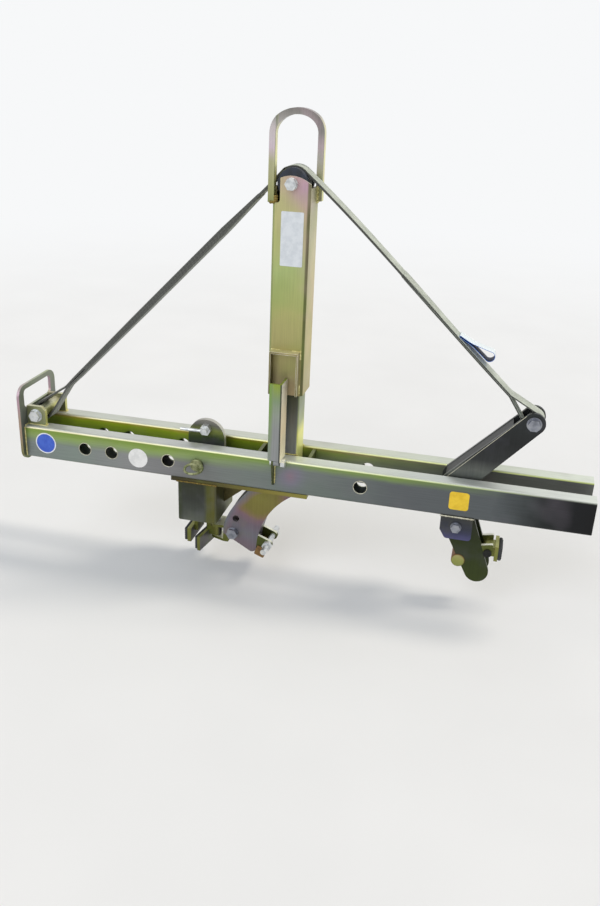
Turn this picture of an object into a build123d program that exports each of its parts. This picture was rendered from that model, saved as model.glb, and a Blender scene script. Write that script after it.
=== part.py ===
# Manhole ring clamp: a twin-rail beam on a telescopic mast, gripped by a strap-driven lever.
# Frame: +X along the beam to the lever, +Y to the back, +Z up, origin under the crown of the bail.
import os
from math import acos, asin, atan2, cos, degrees, hypot, radians, sin, sqrt

from build123d import *

os.makedirs("parts", exist_ok=True)

# Beam
rail_top_z = -912.0
rail_height = 100.0
rail_width = 50.0
rail_wall = 4.0
rail_corner = 8.0
rail_gap = 80.0
beam_left = -792.0
beam_right = 868.0
pin_hole_radius = 19.5
pin_row_drop = 50.0
lock_pin_x = -245.0
spare_hole_x = (-598.0, -513.0, -335.0, 236.0)
spacer_gap = 30.0
spacer_thick = 10.0
spacer_sink = 8.0
rail_inner_y = rail_gap / 2
rail_outer_y = rail_inner_y + rail_width
rail_bottom_z = rail_top_z - rail_height
pin_row_z = rail_top_z - pin_row_drop

# Mast and post
mast_side = 100.0
mast_wall = 5.0
mast_corner = 10.0
mast_foot_rise = 183.0
post_side = 80.0
post_wall = 5.0
post_corner = 8.0
post_top_rise = 560.0
slide_clearance = 0.3
guide_length = 60.0
mast_half = mast_side / 2
mast_bore = mast_side - 2 * mast_wall
mast_bore_corner = mast_corner - mast_wall
mast_foot_z = rail_top_z + mast_foot_rise
post_top_z = rail_top_z + post_top_rise

# Mast head and roller
axle_rise = 748.0
axle_radius = 9.0
axle_hex = 28.0
axle_washer_margin = 2.0
ear_rise = 20.0
side_slot_drop = 10.0
roller_radius = 37.0
roller_flange = 3.0
roller_groove_play = 2.0
roller_chamfer = 2.0
roller_end_gap = 1.5
roller_bush_radius = 14.0
running_fit = 0.05
bolt_clearance = 0.4
axle_z = rail_top_z + axle_rise

# Lifting bail
bail_bar = 16.0
bail_depth = 24.0
bail_inner_radius = 46.0
bail_front_y = 51.0
bail_foot_rise = 700.0
bail_notch_x = 30.0
bail_notch_corner = 8.0
bail_outer_radius = bail_inner_radius + bail_bar
bail_centre_z = -bail_inner_radius
bail_back_y = bail_front_y - bail_depth
bail_foot_z = rail_top_z + bail_foot_rise

# Latch pocket on the mast and the prop that stands under it
pocket_half = 40.0
pocket_bar = 4.0
pocket_depth = 28.0
pocket_top_rise = 311.0
pocket_foot_rise = 190.0
pocket_lintel = 5.0
prop_gap = 72.0
prop_left = -26.0
prop_right = 9.0
prop_plate = 6.0
prop_back_y = -58.0
prop_foot_clear = 3.0
prop_face_gap = 1.0
prop_pin_radius = 5.5
prop_pin_drop = 3.0
prop_pin_out = 12.0
prop_pin_head = 4.0
prop_eye_radius = 9.5
prop_eye_play = 0.5
prop_nut_hex = 22.0
prop_nut_length = 12.0
prop_lug_left = -18.0
prop_lug_plate = 6.0
prop_lug_drop = 78.0
prop_lug_corner = 3.0
pocket_top_z = rail_top_z + pocket_top_rise
prop_top_z = pocket_top_z - pocket_lintel - prop_gap
prop_foot_z = rail_top_z + prop_foot_clear
prop_pin_z = rail_top_z - prop_pin_drop
prop_pin_y = -rail_outer_y - prop_pin_out
prop_front_y = prop_pin_y - prop_eye_radius - prop_eye_play - prop_plate
prop_lug_right = prop_lug_left + prop_lug_plate

# End plate with its handle, and the strap anchor
end_plate_thick = 8.0
end_plate_half = 108.0
end_plate_top = 124.0
end_plate_drop = 109.0
end_plate_corner = 34.0
handle_half = 80.0
handle_low = 52.0
handle_high = 109.0
handle_radius = 14.0
lug_thick = 12.0
lug_inner_y = 57.0
lug_length = 59.0
lug_height = 58.0
lug_corner = 12.0
anchor_x = -763.0
anchor_rise = 30.0
bolt_radius = 10.0
bolt_hex = 30.0
washer_radius = 20.0
washer_thick = 3.0
head_share = 0.62
nut_share = 0.8
sleeve_radius = 18.0
anchor_z = rail_top_z + anchor_rise

# Lever and jaw
pivot_x = 511.0
pivot_drop = 30.0
lever_end_x = 680.0
lever_end_rise = 178.0
knee_x = 490.0
lever_knee_rise = -26.0
lever_end_radius = 30.0
knee_radius = 37.0
pivot_boss_radius = 46.0
jaw_tip_x = 582.0
jaw_tip_drop = 190.0
jaw_tip_radius = 34.0
lever_plate = 10.0
lever_inner_y = 26.0
web_thick = 8.0
web_inset = 1.0
web_end_gap = 46.0
bracket_plate = 12.0
bracket_half = 44.0
bracket_drop = 68.0
bracket_corner = 10.0
bracket_cut = 16.0
bracket_cut_rise = 26.0
pivot_bolt_radius = 8.0
pivot_hex = 24.0
pivot_washer = 15.0
pivot_bush_radius = 17.0
spacer_radius = 24.0
pivot_z = rail_bottom_z - pivot_drop
lever_end_z = rail_top_z + lever_end_rise
knee_z = rail_top_z + lever_knee_rise
jaw_tip_z = rail_bottom_z - jaw_tip_drop
lever_outer_y = lever_inner_y + lever_plate
bracket_inner_y = rail_outer_y - bracket_plate

# Swivelling grip pads
pad_pin_radius = 8.0
pad_pin_collar = 4.0
pad_pin_head = 5.0
pad_play = 0.6
pad_reach = 20.0
pad_bar_thick = 10.0
pad_bar_height = 46.0
pad_tongue_radius = 14.0
pad_rubber = 10.0
pad_rubber_inset = 3.0
pad_rubber_radius = 4.0
jaw_pad_x = 606.0
jaw_pad_drop = 126.0
jaw_pad_half = 36.0
jaw_ear_radius = 14.0
jaw_ear_corner = 4.0
jaw_ear_rise = 24.0
jaw_ear_root = 42.0
jaw_ear_slope = 12.0
arm_pad_x = -213.0
arm_pad_drop = 198.0
arm_pad_angle = -9.0
arm_pad_half = 75.0
arm_pad_tongue = 38.0
arm_pad_hang = 26.0
arm_shelf_plate = 8.0
arm_shelf_half = 32.0
arm_shelf_nose = 16.0
arm_shelf_root_x = -177.0
jaw_pad_z = rail_bottom_z - jaw_pad_drop
arm_pad_z = rail_bottom_z - arm_pad_drop

# Inner buffer of the jaw
buffer_x = 527.0
buffer_drop = 163.0
buffer_radius = 20.0
buffer_half = 40.0
buffer_crown = 6.0
buffer_z = rail_bottom_z - buffer_drop

# Carriage of the adjustable jaw
carriage_plate_thick = 12.0
carriage_left = -328.0
carriage_right = 84.0
carriage_half = 86.0
carriage_play = 0.5
box_width = 120.0
box_depth = 172.0
box_wall = 6.0
box_corner = 10.0
box_drop = 126.0
box_x = -249.0
web_radius = 56.0
web_rise = 4.0
carriage_web_thick = 16.0
gusset_thick = 12.0
gusset_drop = 88.0
gusset_gap = 1.0
screw_rise = 31.0
screw_radius = 10.0
screw_hex = 30.0
screw_washer = 18.0
screw_stand = 14.0
screw_neck = 12.0
tommy_radius = 5.0
tommy_length = 72.0
foot_bar_x = -283.0
foot_bar_thick = 12.0
foot_bar_half = 60.0
foot_bar_height = 44.0
foot_drop = 204.0
foot_hanger_thick = 12.0
foot_hanger_half = 30.0
foot_hanger_lap = 18.0
carriage_top_z = rail_bottom_z - carriage_play
carriage_face_z = carriage_top_z - carriage_plate_thick
box_foot_z = carriage_face_z - box_drop
foot_bar_z = rail_bottom_z - foot_drop

# Curved arm under the carriage and the stop on its hollow side
arm_plate = 10.0
arm_inner_y = 26.0
arm_web = 8.0
arm_web_foot = 18.0
arm_top_left = -82.0
arm_top_right = 76.0
arm_belly_x = -168.0
arm_belly_drop = 129.0
arm_heel_x = -182.0
arm_heel_drop = 192.0
arm_toe_x = -76.0
arm_toe_drop = 252.0
arm_throat_x = -60.0
arm_throat_drop = 145.0
arm_top_lean = 40.0
arm_heel_lean = 3.0
arm_bolt_x = -151.0
arm_bolt_drop = 186.0
arm_hole_x = -142.0
arm_hole_drop = 137.0
arm_hole_radius = 10.5
arm_tip_radius = 14.0
stop_pin_x = -41.0
stop_pin_drop = 210.0
stop_ear_radius = 14.0
stop_root_x = -100.0
stop_root_drop = 196.0
stop_root_radius = 22.0
stop_rod_radius = 9.0
stop_rod_front = 50.0
stop_rod_back = 40.0
stop_hex = 26.0
stop_block_x = -62.0
stop_block_drop = 236.0
stop_block_side = 32.0
stop_block_half = 40.0
stop_block_tilt = 21.0
stop_block_round = 4.0
arm_outer_y = arm_inner_y + arm_plate
arm_bolt_z = rail_bottom_z - arm_bolt_drop
stop_pin_z = rail_bottom_z - stop_pin_drop

# Lock pin
lock_pin_radius = 19.0
lock_pin_proud = 9.0
lock_pin_tail = 8.0
lock_pin_chamfer = 2.0
ring_radius = 26.0
ring_wire = 3.6
ring_seat = 4.5
ring_droop = 10.0

# Strap
strap_width = 50.0
strap_ply = 7.0
eye_ply = 4.2
eye_play = 0.4
strap_lift = 0.3
strap_seam_gap = 8.5
left_run_length = 840.0
right_run_length = 490.0
left_eye_start = 100.0
right_eye_start = 360.0
slot_run_out = 52.0
eye_clearance = 5.0
left_eye_length = 112.0
right_eye_length = 98.0
eye_taper = 28.0
tag_gap = 12.0
tag_length = 95.0
tag_lift = 24.0
tag_radius = 13.0
tag_thick = 1.4
tag_half = 20.0
strap_mid = roller_radius + strap_lift + strap_ply / 2


def front_plane(y):
    return Plane(origin=(0, y, 0), x_dir=(1, 0, 0), z_dir=(0, -1, 0))


def turned_plane(x, y, z, angle):
    along = (cos(radians(angle)), 0, sin(radians(angle)))
    return Plane(origin=(x, y, z), x_dir=along, z_dir=(0, -1, 0))


def end_plane(x):
    return Plane(origin=(x, 0, 0), x_dir=(0, 1, 0), z_dir=(1, 0, 0))


def level_plane(z):
    return Plane(origin=(0, 0, z), x_dir=(1, 0, 0), z_dir=(0, 0, 1))


def rod_y(x, z, y_front, y_back, radius):
    with BuildPart() as rod:
        with BuildSketch(front_plane(y_back)):
            with Locations((x, z)):
                Circle(radius)
        extrude(amount=y_back - y_front)
    return rod.part


def tube_y(x, z, y_front, y_back, radius, bore):
    with BuildPart() as tube:
        with BuildSketch(front_plane(y_back)):
            with Locations((x, z)):
                Circle(radius)
                Circle(bore, mode=Mode.SUBTRACT)
        extrude(amount=y_back - y_front)
    return tube.part


def hex_y(x, z, y_front, y_back, across):
    with BuildPart() as block:
        with BuildSketch(front_plane(y_back)):
            with Locations((x, z)):
                RegularPolygon(across / 2, 6, major_radius=False)
        extrude(amount=y_back - y_front)
    return block.part


def bolt_y(x, z, y_face, y_end, radius, across, washer):
    head = y_face - washer_thick
    with BuildPart() as bolt:
        add(rod_y(x, z, head, y_end, radius))
        add(rod_y(x, z, head, y_face, washer))
        add(hex_y(x, z, head - 2 * radius * head_share, head, across))
    return bolt.part


def nut_y(x, z, y_face, radius, across, washer):
    back = y_face + washer_thick
    with BuildPart() as nut:
        add(tube_y(x, z, y_face, back, washer, radius + running_fit))
        add(hex_y(x, z, back, back + 2 * radius * nut_share, across))
        add(rod_y(x, z, y_face, back + 2 * radius, radius + running_fit), mode=Mode.SUBTRACT)
    return nut.part


def nut_end(y_face, radius):
    return y_face + washer_thick + 2 * radius


def square_tube(side, wall, corner, z_low, z_high):
    with BuildPart() as tube:
        with BuildSketch(level_plane(z_low)):
            RectangleRounded(side, side, corner)
            RectangleRounded(side - 2 * wall, side - 2 * wall, corner - wall, mode=Mode.SUBTRACT)
        extrude(amount=z_high - z_low)
    return tube.part


def rail(y_mid):
    with BuildPart() as tube:
        with BuildSketch(end_plane(beam_left)):
            with Locations((y_mid, rail_top_z - rail_height / 2)):
                RectangleRounded(rail_width, rail_height, rail_corner)
                RectangleRounded(
                    rail_width - 2 * rail_wall,
                    rail_height - 2 * rail_wall,
                    rail_corner - rail_wall,
                    mode=Mode.SUBTRACT,
                )
        extrude(amount=beam_right - beam_left)
        with BuildSketch(front_plane(y_mid + rail_width)):
            for x in (lock_pin_x, *spare_hole_x):
                with Locations((x, pin_row_z)):
                    Circle(pin_hole_radius)
        extrude(amount=2 * rail_width, mode=Mode.SUBTRACT)
    return tube.part


def pad_plane(pin_x, z, angle):
    along = (cos(radians(angle)), sin(radians(angle)), 0)
    return Plane(origin=(pin_x, 0, z), x_dir=along, z_dir=(0, 0, 1))


def shelf_plate(z_low, nose_half):
    root_half = arm_shelf_half - jaw_ear_corner
    with BuildPart() as shelf:
        with BuildSketch(level_plane(z_low)):
            with Locations((arm_pad_x, nose_half), (arm_pad_x, -nose_half)):
                Circle(arm_shelf_nose)
            with Locations((arm_shelf_root_x, 0)):
                Rectangle(2 * arm_shelf_plate, 2 * root_half)
            make_hull()
        extrude(amount=arm_shelf_plate)
    return shelf.part


def pin_z(x, z_low, z_high, radius):
    with BuildPart() as pin:
        with BuildSketch(level_plane(z_low)):
            with Locations((x, 0)):
                Circle(radius)
        extrude(amount=z_high - z_low)
    return pin.part


def rounded_ear(y_back, thick, rounds):
    with BuildPart() as ear:
        with BuildSketch(front_plane(y_back)):
            for x, z, radius in rounds:
                with Locations((x, z)):
                    Circle(radius)
            make_hull()
        extrude(amount=thick)
    return ear.part


def lever_side(y_back):
    joints = (
        (lever_end_x, lever_end_z, lever_end_radius),
        (knee_x, knee_z, knee_radius),
        (pivot_x, pivot_z, pivot_boss_radius),
        (jaw_tip_x, jaw_tip_z, jaw_tip_radius),
    )
    with BuildPart() as plate:
        for first, second in zip(joints, joints[1:]):
            with BuildSketch(front_plane(y_back)):
                for x, z, radius in (first, second):
                    with Locations((x, z)):
                        Circle(radius)
                make_hull()
            extrude(amount=lever_plate)
        with BuildSketch(front_plane(y_back)):
            with Locations((lever_end_x, lever_end_z)):
                Circle(bolt_radius + bolt_clearance)
            with Locations((pivot_x, pivot_z)):
                Circle(pivot_bush_radius + running_fit)
            with Locations((buffer_x, buffer_z)):
                Circle(buffer_radius)
        extrude(amount=lever_plate, mode=Mode.SUBTRACT)
    return plate.part


def strap_line(x, z, way):
    reach = hypot(x, z - axle_z)
    foot = degrees(atan2(z - axle_z, x)) + way * degrees(acos(strap_mid / reach))
    return foot, sqrt(reach**2 - strap_mid**2)


def strap_plane(foot, way, y_back):
    foot_x = strap_mid * cos(radians(foot))
    foot_z = axle_z + strap_mid * sin(radians(foot))
    return turned_plane(foot_x, y_back, foot_z, foot - way * 90)


def strap_run(foot, way, length):
    with BuildPart() as run:
        with BuildSketch(strap_plane(foot, way, strap_width / 2)):
            with Locations((length / 2, 0)):
                Rectangle(length, strap_ply)
        extrude(amount=strap_width)
    return run.part


def strap_eye(foot, way, start, run_end, length, eye_length):
    plane = strap_plane(foot, way, strap_width / 2)
    slot_half = strap_ply / 2 + eye_play
    slot_end = run_end + slot_run_out
    eye_bore = sleeve_radius + eye_clearance
    point = length - eye_length
    with BuildPart() as eye:
        with BuildSketch(plane):
            with BuildLine():
                Polyline(
                    (start, slot_half + eye_ply),
                    (slot_end, slot_half + eye_ply),
                    (slot_end + eye_taper, eye_ply),
                    (point, eye_ply),
                    (point, -eye_ply),
                    (slot_end + eye_taper, -eye_ply),
                    (slot_end, -slot_half - eye_ply),
                    (start, -slot_half - eye_ply),
                    close=True,
                )
            make_face()
            with Locations(((start + slot_end) / 2, 0)):
                Rectangle(slot_end - start, 2 * slot_half, mode=Mode.SUBTRACT)
        extrude(amount=strap_width)
        with BuildSketch(plane):
            with Locations((point, 0)):
                Circle(eye_ply)
            with Locations((length, 0)):
                Circle(eye_bore + eye_ply)
            make_hull()
        extrude(amount=strap_width)
        with BuildSketch(plane):
            with Locations((point + 2 * eye_ply, 0)):
                Circle(eye_play)
            with Locations((length, 0)):
                Circle(eye_bore)
            make_hull()
        extrude(amount=strap_width, mode=Mode.SUBTRACT)
    return eye.part


def pull_ring(y_mid):
    droop = radians(ring_droop)
    place = Plane(origin=(lock_pin_x, y_mid, pin_row_z), x_dir=(1, 0, 0), z_dir=(0, -sin(droop), cos(droop)))
    with BuildPart(place) as ring:
        Torus(ring_radius, ring_wire)
    return ring.part


def corner_notch():
    with BuildPart() as notch:
        with BuildSketch(front_plane(-bail_back_y)):
            with Locations((-bail_notch_x - mast_half, bail_foot_z + mast_side)):
                RectangleRounded(mast_side, 2 * mast_side, bail_notch_corner)
        extrude(amount=mast_side)
    return notch.part


# Mast tube with its two ears, side slots and bail notches
with BuildPart() as mast_tube:
    add(square_tube(mast_side, mast_wall, mast_corner, mast_foot_z, axle_z + 2 * mast_side))
    with BuildSketch(front_plane(mast_side)):
        with BuildLine():
            Polyline(
                (-mast_half, axle_z),
                (-mast_half, mast_foot_z),
                (mast_half, mast_foot_z),
                (mast_half, axle_z),
            )
            ThreePointArc((mast_half, axle_z), (0, axle_z + ear_rise), (-mast_half, axle_z))
        make_face()
    extrude(amount=2 * mast_side, mode=Mode.INTERSECT)
    with BuildSketch(end_plane(-mast_side)):
        slot_low = axle_z - side_slot_drop
        with Locations((0, slot_low + mast_side / 2)):
            Rectangle(2 * (mast_half - mast_corner), mast_side)
    extrude(amount=2 * mast_side, mode=Mode.SUBTRACT)
    add(corner_notch(), mode=Mode.SUBTRACT)
    add(corner_notch().rotate(Axis.Z, 180), mode=Mode.SUBTRACT)
    add(rod_y(0, axle_z, -mast_side, mast_side, axle_radius + bolt_clearance), mode=Mode.SUBTRACT)
mast_tube.part.label = "mast_tube"
export_step(mast_tube.part, "parts/mast_tube.step")

# Lifting bail: one bar whose legs stand at opposite corners of the mast
with BuildPart() as lifting_bail:
    with BuildSketch(front_plane(2 * bail_front_y)):
        with BuildLine():
            Line((-bail_outer_radius, bail_foot_z), (-bail_outer_radius, bail_centre_z))
            ThreePointArc(
                (-bail_outer_radius, bail_centre_z),
                (0, bail_centre_z + bail_outer_radius),
                (bail_outer_radius, bail_centre_z),
            )
            Polyline(
                (bail_outer_radius, bail_centre_z),
                (bail_outer_radius, bail_foot_z),
                (bail_inner_radius, bail_foot_z),
                (bail_inner_radius, bail_centre_z),
            )
            ThreePointArc(
                (bail_inner_radius, bail_centre_z),
                (0, bail_centre_z + bail_inner_radius),
                (-bail_inner_radius, bail_centre_z),
            )
            Polyline(
                (-bail_inner_radius, bail_centre_z),
                (-bail_inner_radius, bail_foot_z),
                (-bail_outer_radius, bail_foot_z),
            )
        make_face()
    extrude(amount=4 * bail_front_y)
    with BuildSketch(level_plane(bail_foot_z)):
        with BuildLine():
            Polyline(
                (-bail_outer_radius, -bail_front_y),
                (-bail_inner_radius, -bail_front_y),
                (bail_inner_radius, bail_back_y),
                (bail_outer_radius, bail_back_y),
                (bail_outer_radius, bail_front_y),
                (bail_inner_radius, bail_front_y),
                (-bail_inner_radius, -bail_back_y),
                (-bail_outer_radius, -bail_back_y),
                close=True,
            )
        make_face()
    extrude(amount=2 * mast_side + bail_outer_radius - bail_foot_z, mode=Mode.INTERSECT)
lifting_bail.part.label = "lifting_bail"
export_step(lifting_bail.part, "parts/lifting_bail.step")

# Latch pocket: flat bars welded on the front of the mast, open below
with BuildPart() as latch_pocket:
    with BuildSketch(front_plane(-mast_half)):
        pocket_foot_z = rail_top_z + pocket_foot_rise
        pocket_height = pocket_top_z - pocket_foot_z
        with Locations((0, pocket_foot_z + pocket_height / 2)):
            Rectangle(2 * pocket_half, pocket_height)
        with Locations((0, pocket_foot_z + (pocket_height - pocket_lintel) / 2)):
            Rectangle(
                2 * (pocket_half - pocket_bar),
                pocket_height - pocket_lintel,
                mode=Mode.SUBTRACT,
            )
    extrude(amount=pocket_depth)
latch_pocket.part.label = "latch_pocket"
export_step(latch_pocket.part, "parts/latch_pocket.step")

# Guide bush in the foot of the mast
with BuildPart() as mast_guide_bush:
    with BuildSketch(level_plane(mast_foot_z)):
        RectangleRounded(mast_bore, mast_bore, mast_bore_corner)
        guide_bore = post_side + 2 * slide_clearance
        RectangleRounded(guide_bore, guide_bore, post_corner, mode=Mode.SUBTRACT)
    extrude(amount=guide_length)
mast_guide_bush.part.label = "mast_guide_bush"
export_step(mast_guide_bush.part, "parts/mast_guide_bush.step")

# Roller, its bush and its axle bolt
roller_half = mast_half - mast_wall - roller_end_gap
roller_bore = roller_bush_radius + running_fit
groove_half = strap_width / 2 + roller_groove_play
with BuildPart() as strap_roller:
    flange_radius = roller_radius + roller_flange
    add(tube_y(0, axle_z, -roller_half, roller_half, roller_radius, roller_bore))
    add(tube_y(0, axle_z, -roller_half, -groove_half, flange_radius, roller_bore))
    add(tube_y(0, axle_z, groove_half, roller_half, flange_radius, roller_bore))
    rims = strap_roller.edges().filter_by(GeomType.CIRCLE).group_by(SortBy.RADIUS)[-1]
    chamfer(rims, length=roller_chamfer)
strap_roller.part.label = "strap_roller"
export_step(strap_roller.part, "parts/strap_roller.step")

ear_inner_y = mast_half - mast_wall
with BuildPart() as roller_bush:
    add(tube_y(0, axle_z, -ear_inner_y, ear_inner_y, roller_bush_radius, axle_radius + running_fit))
roller_bush.part.label = "roller_bush"
export_step(roller_bush.part, "parts/roller_bush.step")

axle_washer = axle_hex / 2 + axle_washer_margin
with BuildPart() as roller_axle_bolt:
    axle_end = nut_end(mast_half, axle_radius)
    add(bolt_y(0, axle_z, -mast_half, axle_end, axle_radius, axle_hex, axle_washer))
roller_axle_bolt.part.label = "roller_axle_bolt"
export_step(roller_axle_bolt.part, "parts/roller_axle_bolt.step")

with BuildPart() as roller_axle_nut:
    add(nut_y(0, axle_z, mast_half, axle_radius, axle_hex, axle_washer))
roller_axle_nut.part.label = "roller_axle_nut"
export_step(roller_axle_nut.part, "parts/roller_axle_nut.step")

# Rails of the beam
with BuildPart() as front_rail:
    add(rail(-rail_inner_y - rail_width / 2))
front_rail.part.label = "front_rail"
export_step(front_rail.part, "parts/front_rail.step")

with BuildPart() as rear_rail:
    add(rail(rail_inner_y + rail_width / 2))
rear_rail.part.label = "rear_rail"
export_step(rear_rail.part, "parts/rear_rail.step")

# Post between the rails, with the guide shoe at its top
with BuildPart() as inner_post:
    add(square_tube(post_side, post_wall, post_corner, rail_bottom_z, post_top_z))
inner_post.part.label = "inner_post"
export_step(inner_post.part, "parts/inner_post.step")

with BuildPart() as post_guide_shoe:
    with BuildSketch(level_plane(post_top_z - guide_length)):
        shoe_side = mast_bore - 2 * slide_clearance
        RectangleRounded(shoe_side, shoe_side, mast_bore_corner)
        RectangleRounded(post_side, post_side, post_corner, mode=Mode.SUBTRACT)
    extrude(amount=guide_length)
post_guide_shoe.part.label = "post_guide_shoe"
export_step(post_guide_shoe.part, "parts/post_guide_shoe.step")

# Spacer plates that tie the rails on both sides of the post
with BuildPart() as beam_spacers:
    for side in (-1, 1):
        spacer_x = side * (post_side / 2 + spacer_gap + spacer_thick / 2)
        with BuildSketch(end_plane(spacer_x - spacer_thick / 2)):
            spacer_height = rail_height - 2 * spacer_sink
            with Locations((0, rail_top_z - rail_height / 2)):
                Rectangle(rail_gap, spacer_height)
        extrude(amount=spacer_thick)
beam_spacers.part.label = "beam_spacers"
export_step(beam_spacers.part, "parts/beam_spacers.step")

# End plate with the carrying handle cut in its top
with BuildPart() as end_plate:
    with BuildSketch(end_plane(beam_left - end_plate_thick)):
        plate_height = end_plate_top + end_plate_drop
        with Locations((0, rail_top_z + end_plate_top - plate_height / 2)):
            RectangleRounded(2 * end_plate_half, plate_height, end_plate_corner)
        handle_gap = handle_high - handle_low
        with Locations((0, rail_top_z + handle_low + handle_gap / 2)):
            RectangleRounded(2 * handle_half, handle_gap, handle_radius, mode=Mode.SUBTRACT)
    extrude(amount=end_plate_thick)
end_plate.part.label = "end_plate"
export_step(end_plate.part, "parts/end_plate.step")

# Strap anchor: two lugs on the rails, a sleeve and a through bolt
lug_outer_y = lug_inner_y + lug_thick
with BuildPart() as anchor_lugs:
    for side in (-1, 1):
        lug_back = lug_outer_y if side > 0 else -lug_inner_y
        with BuildSketch(front_plane(lug_back)):
            with Locations((beam_left + lug_length / 2, rail_top_z + lug_height / 2)):
                lug_outline = Rectangle(lug_length, lug_height)
            lug_tops = lug_outline.vertices().group_by(Axis.Y)[-1].sort_by(Axis.X)
            chamfer(lug_tops[-1], length=lug_corner)
            with Locations((anchor_x, anchor_z)):
                Circle(bolt_radius + bolt_clearance, mode=Mode.SUBTRACT)
        extrude(amount=lug_thick)
anchor_lugs.part.label = "anchor_lugs"
export_step(anchor_lugs.part, "parts/anchor_lugs.step")

with BuildPart() as anchor_sleeve:
    add(tube_y(anchor_x, anchor_z, -lug_inner_y, lug_inner_y, sleeve_radius, bolt_radius + running_fit))
anchor_sleeve.part.label = "anchor_sleeve"
export_step(anchor_sleeve.part, "parts/anchor_sleeve.step")

with BuildPart() as anchor_bolt:
    anchor_end = nut_end(lug_outer_y, bolt_radius)
    add(bolt_y(anchor_x, anchor_z, -lug_outer_y, anchor_end, bolt_radius, bolt_hex, washer_radius))
anchor_bolt.part.label = "anchor_bolt"
export_step(anchor_bolt.part, "parts/anchor_bolt.step")

with BuildPart() as frame_nuts:
    add(nut_y(anchor_x, anchor_z, lug_outer_y, bolt_radius, bolt_hex, washer_radius))
    add(nut_y(pivot_x, pivot_z, rail_outer_y, pivot_bolt_radius, pivot_hex, pivot_washer))
    add(nut_y(arm_bolt_x, arm_bolt_z, arm_outer_y, screw_radius, screw_hex, screw_washer))
frame_nuts.part.label = "frame_nuts"
export_step(frame_nuts.part, "parts/frame_nuts.step")

# Carriage: plate under the rails, box post, web between the rails and gusset
with BuildPart() as carriage_plate:
    with BuildSketch(level_plane(carriage_face_z)):
        plate_length = carriage_right - carriage_left
        with Locations((carriage_left + plate_length / 2, 0)):
            Rectangle(plate_length, 2 * carriage_half)
    extrude(amount=carriage_plate_thick)
carriage_plate.part.label = "carriage_plate"
export_step(carriage_plate.part, "parts/carriage_plate.step")

with BuildPart() as carriage_box:
    with BuildSketch(level_plane(box_foot_z)):
        with Locations((box_x, 0)):
            RectangleRounded(box_width, box_depth, box_corner)
            RectangleRounded(
                box_width - 2 * box_wall,
                box_depth - 2 * box_wall,
                box_corner - box_wall,
                mode=Mode.SUBTRACT,
            )
    extrude(amount=box_drop)
    with BuildSketch(level_plane(box_foot_z)):
        with Locations((box_x, 0)):
            RectangleRounded(box_width, box_depth, box_corner)
    extrude(amount=box_wall)
carriage_box.part.label = "carriage_box"
export_step(carriage_box.part, "parts/carriage_box.step")

with BuildPart() as carriage_web:
    web_back = carriage_web_thick / 2
    web_centre_z = rail_top_z + web_rise
    screw_z = rail_top_z + screw_rise
    with BuildSketch(front_plane(web_back)):
        with Locations((lock_pin_x, web_centre_z)):
            Circle(web_radius)
        stem = web_centre_z - carriage_top_z
        with Locations((lock_pin_x, web_centre_z - stem / 2)):
            Rectangle(2 * web_radius, stem)
        with Locations((lock_pin_x, pin_row_z)):
            Circle(pin_hole_radius, mode=Mode.SUBTRACT)
        with Locations((lock_pin_x, screw_z)):
            Circle(screw_radius + bolt_clearance, mode=Mode.SUBTRACT)
    extrude(amount=carriage_web_thick)
carriage_web.part.label = "carriage_web"
export_step(carriage_web.part, "parts/carriage_web.step")

with BuildPart() as carriage_gusset:
    with BuildSketch(front_plane(gusset_thick / 2)):
        gusset_x = box_x + box_width / 2
        with BuildLine():
            Polyline(
                (gusset_x, carriage_face_z),
                (gusset_x, carriage_face_z - gusset_drop),
                (arm_top_left - gusset_gap, carriage_face_z),
                close=True,
            )
        make_face()
    extrude(amount=gusset_thick)
carriage_gusset.part.label = "carriage_gusset"
export_step(carriage_gusset.part, "parts/carriage_gusset.step")

# Clamping screw of the carriage with its tommy bar
with BuildPart() as carriage_screw:
    web_front = -carriage_web_thick / 2
    screw_head = web_front - screw_stand
    add(rod_y(lock_pin_x, screw_z, screw_head - screw_neck, web_back + screw_stand, screw_radius))
    add(hex_y(lock_pin_x, screw_z, screw_head, web_front, screw_hex))
    add(hex_y(lock_pin_x, screw_z, web_back, web_back + screw_stand, screw_hex))
    tommy_start = (lock_pin_x, screw_head - screw_neck / 2, screw_z)
    with BuildSketch(Plane(origin=tommy_start, x_dir=(0, 1, 0), z_dir=(-1, 0, 0))):
        Circle(tommy_radius)
    extrude(amount=tommy_length)
carriage_screw.part.label = "carriage_screw"
export_step(carriage_screw.part, "parts/carriage_screw.step")

# Fixed foot under the carriage box: a hanger, a cross bar and its rubber
bar_back_x = foot_bar_x + foot_bar_thick / 2
bar_low_z = foot_bar_z - foot_bar_height / 2
with BuildPart() as foot_hanger:
    hanger_low = bar_low_z + foot_bar_height - foot_hanger_lap
    with BuildSketch(level_plane(hanger_low)):
        with Locations((bar_back_x + foot_hanger_thick / 2, 0)):
            Rectangle(foot_hanger_thick, 2 * foot_hanger_half)
    extrude(amount=box_foot_z - hanger_low)
foot_hanger.part.label = "foot_hanger"
export_step(foot_hanger.part, "parts/foot_hanger.step")

with BuildPart() as foot_bar:
    with BuildSketch(level_plane(bar_low_z)):
        with Locations((foot_bar_x, 0)):
            Rectangle(foot_bar_thick, 2 * foot_bar_half)
    extrude(amount=foot_bar_height)
foot_bar.part.label = "foot_bar"
export_step(foot_bar.part, "parts/foot_bar.step")

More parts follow.
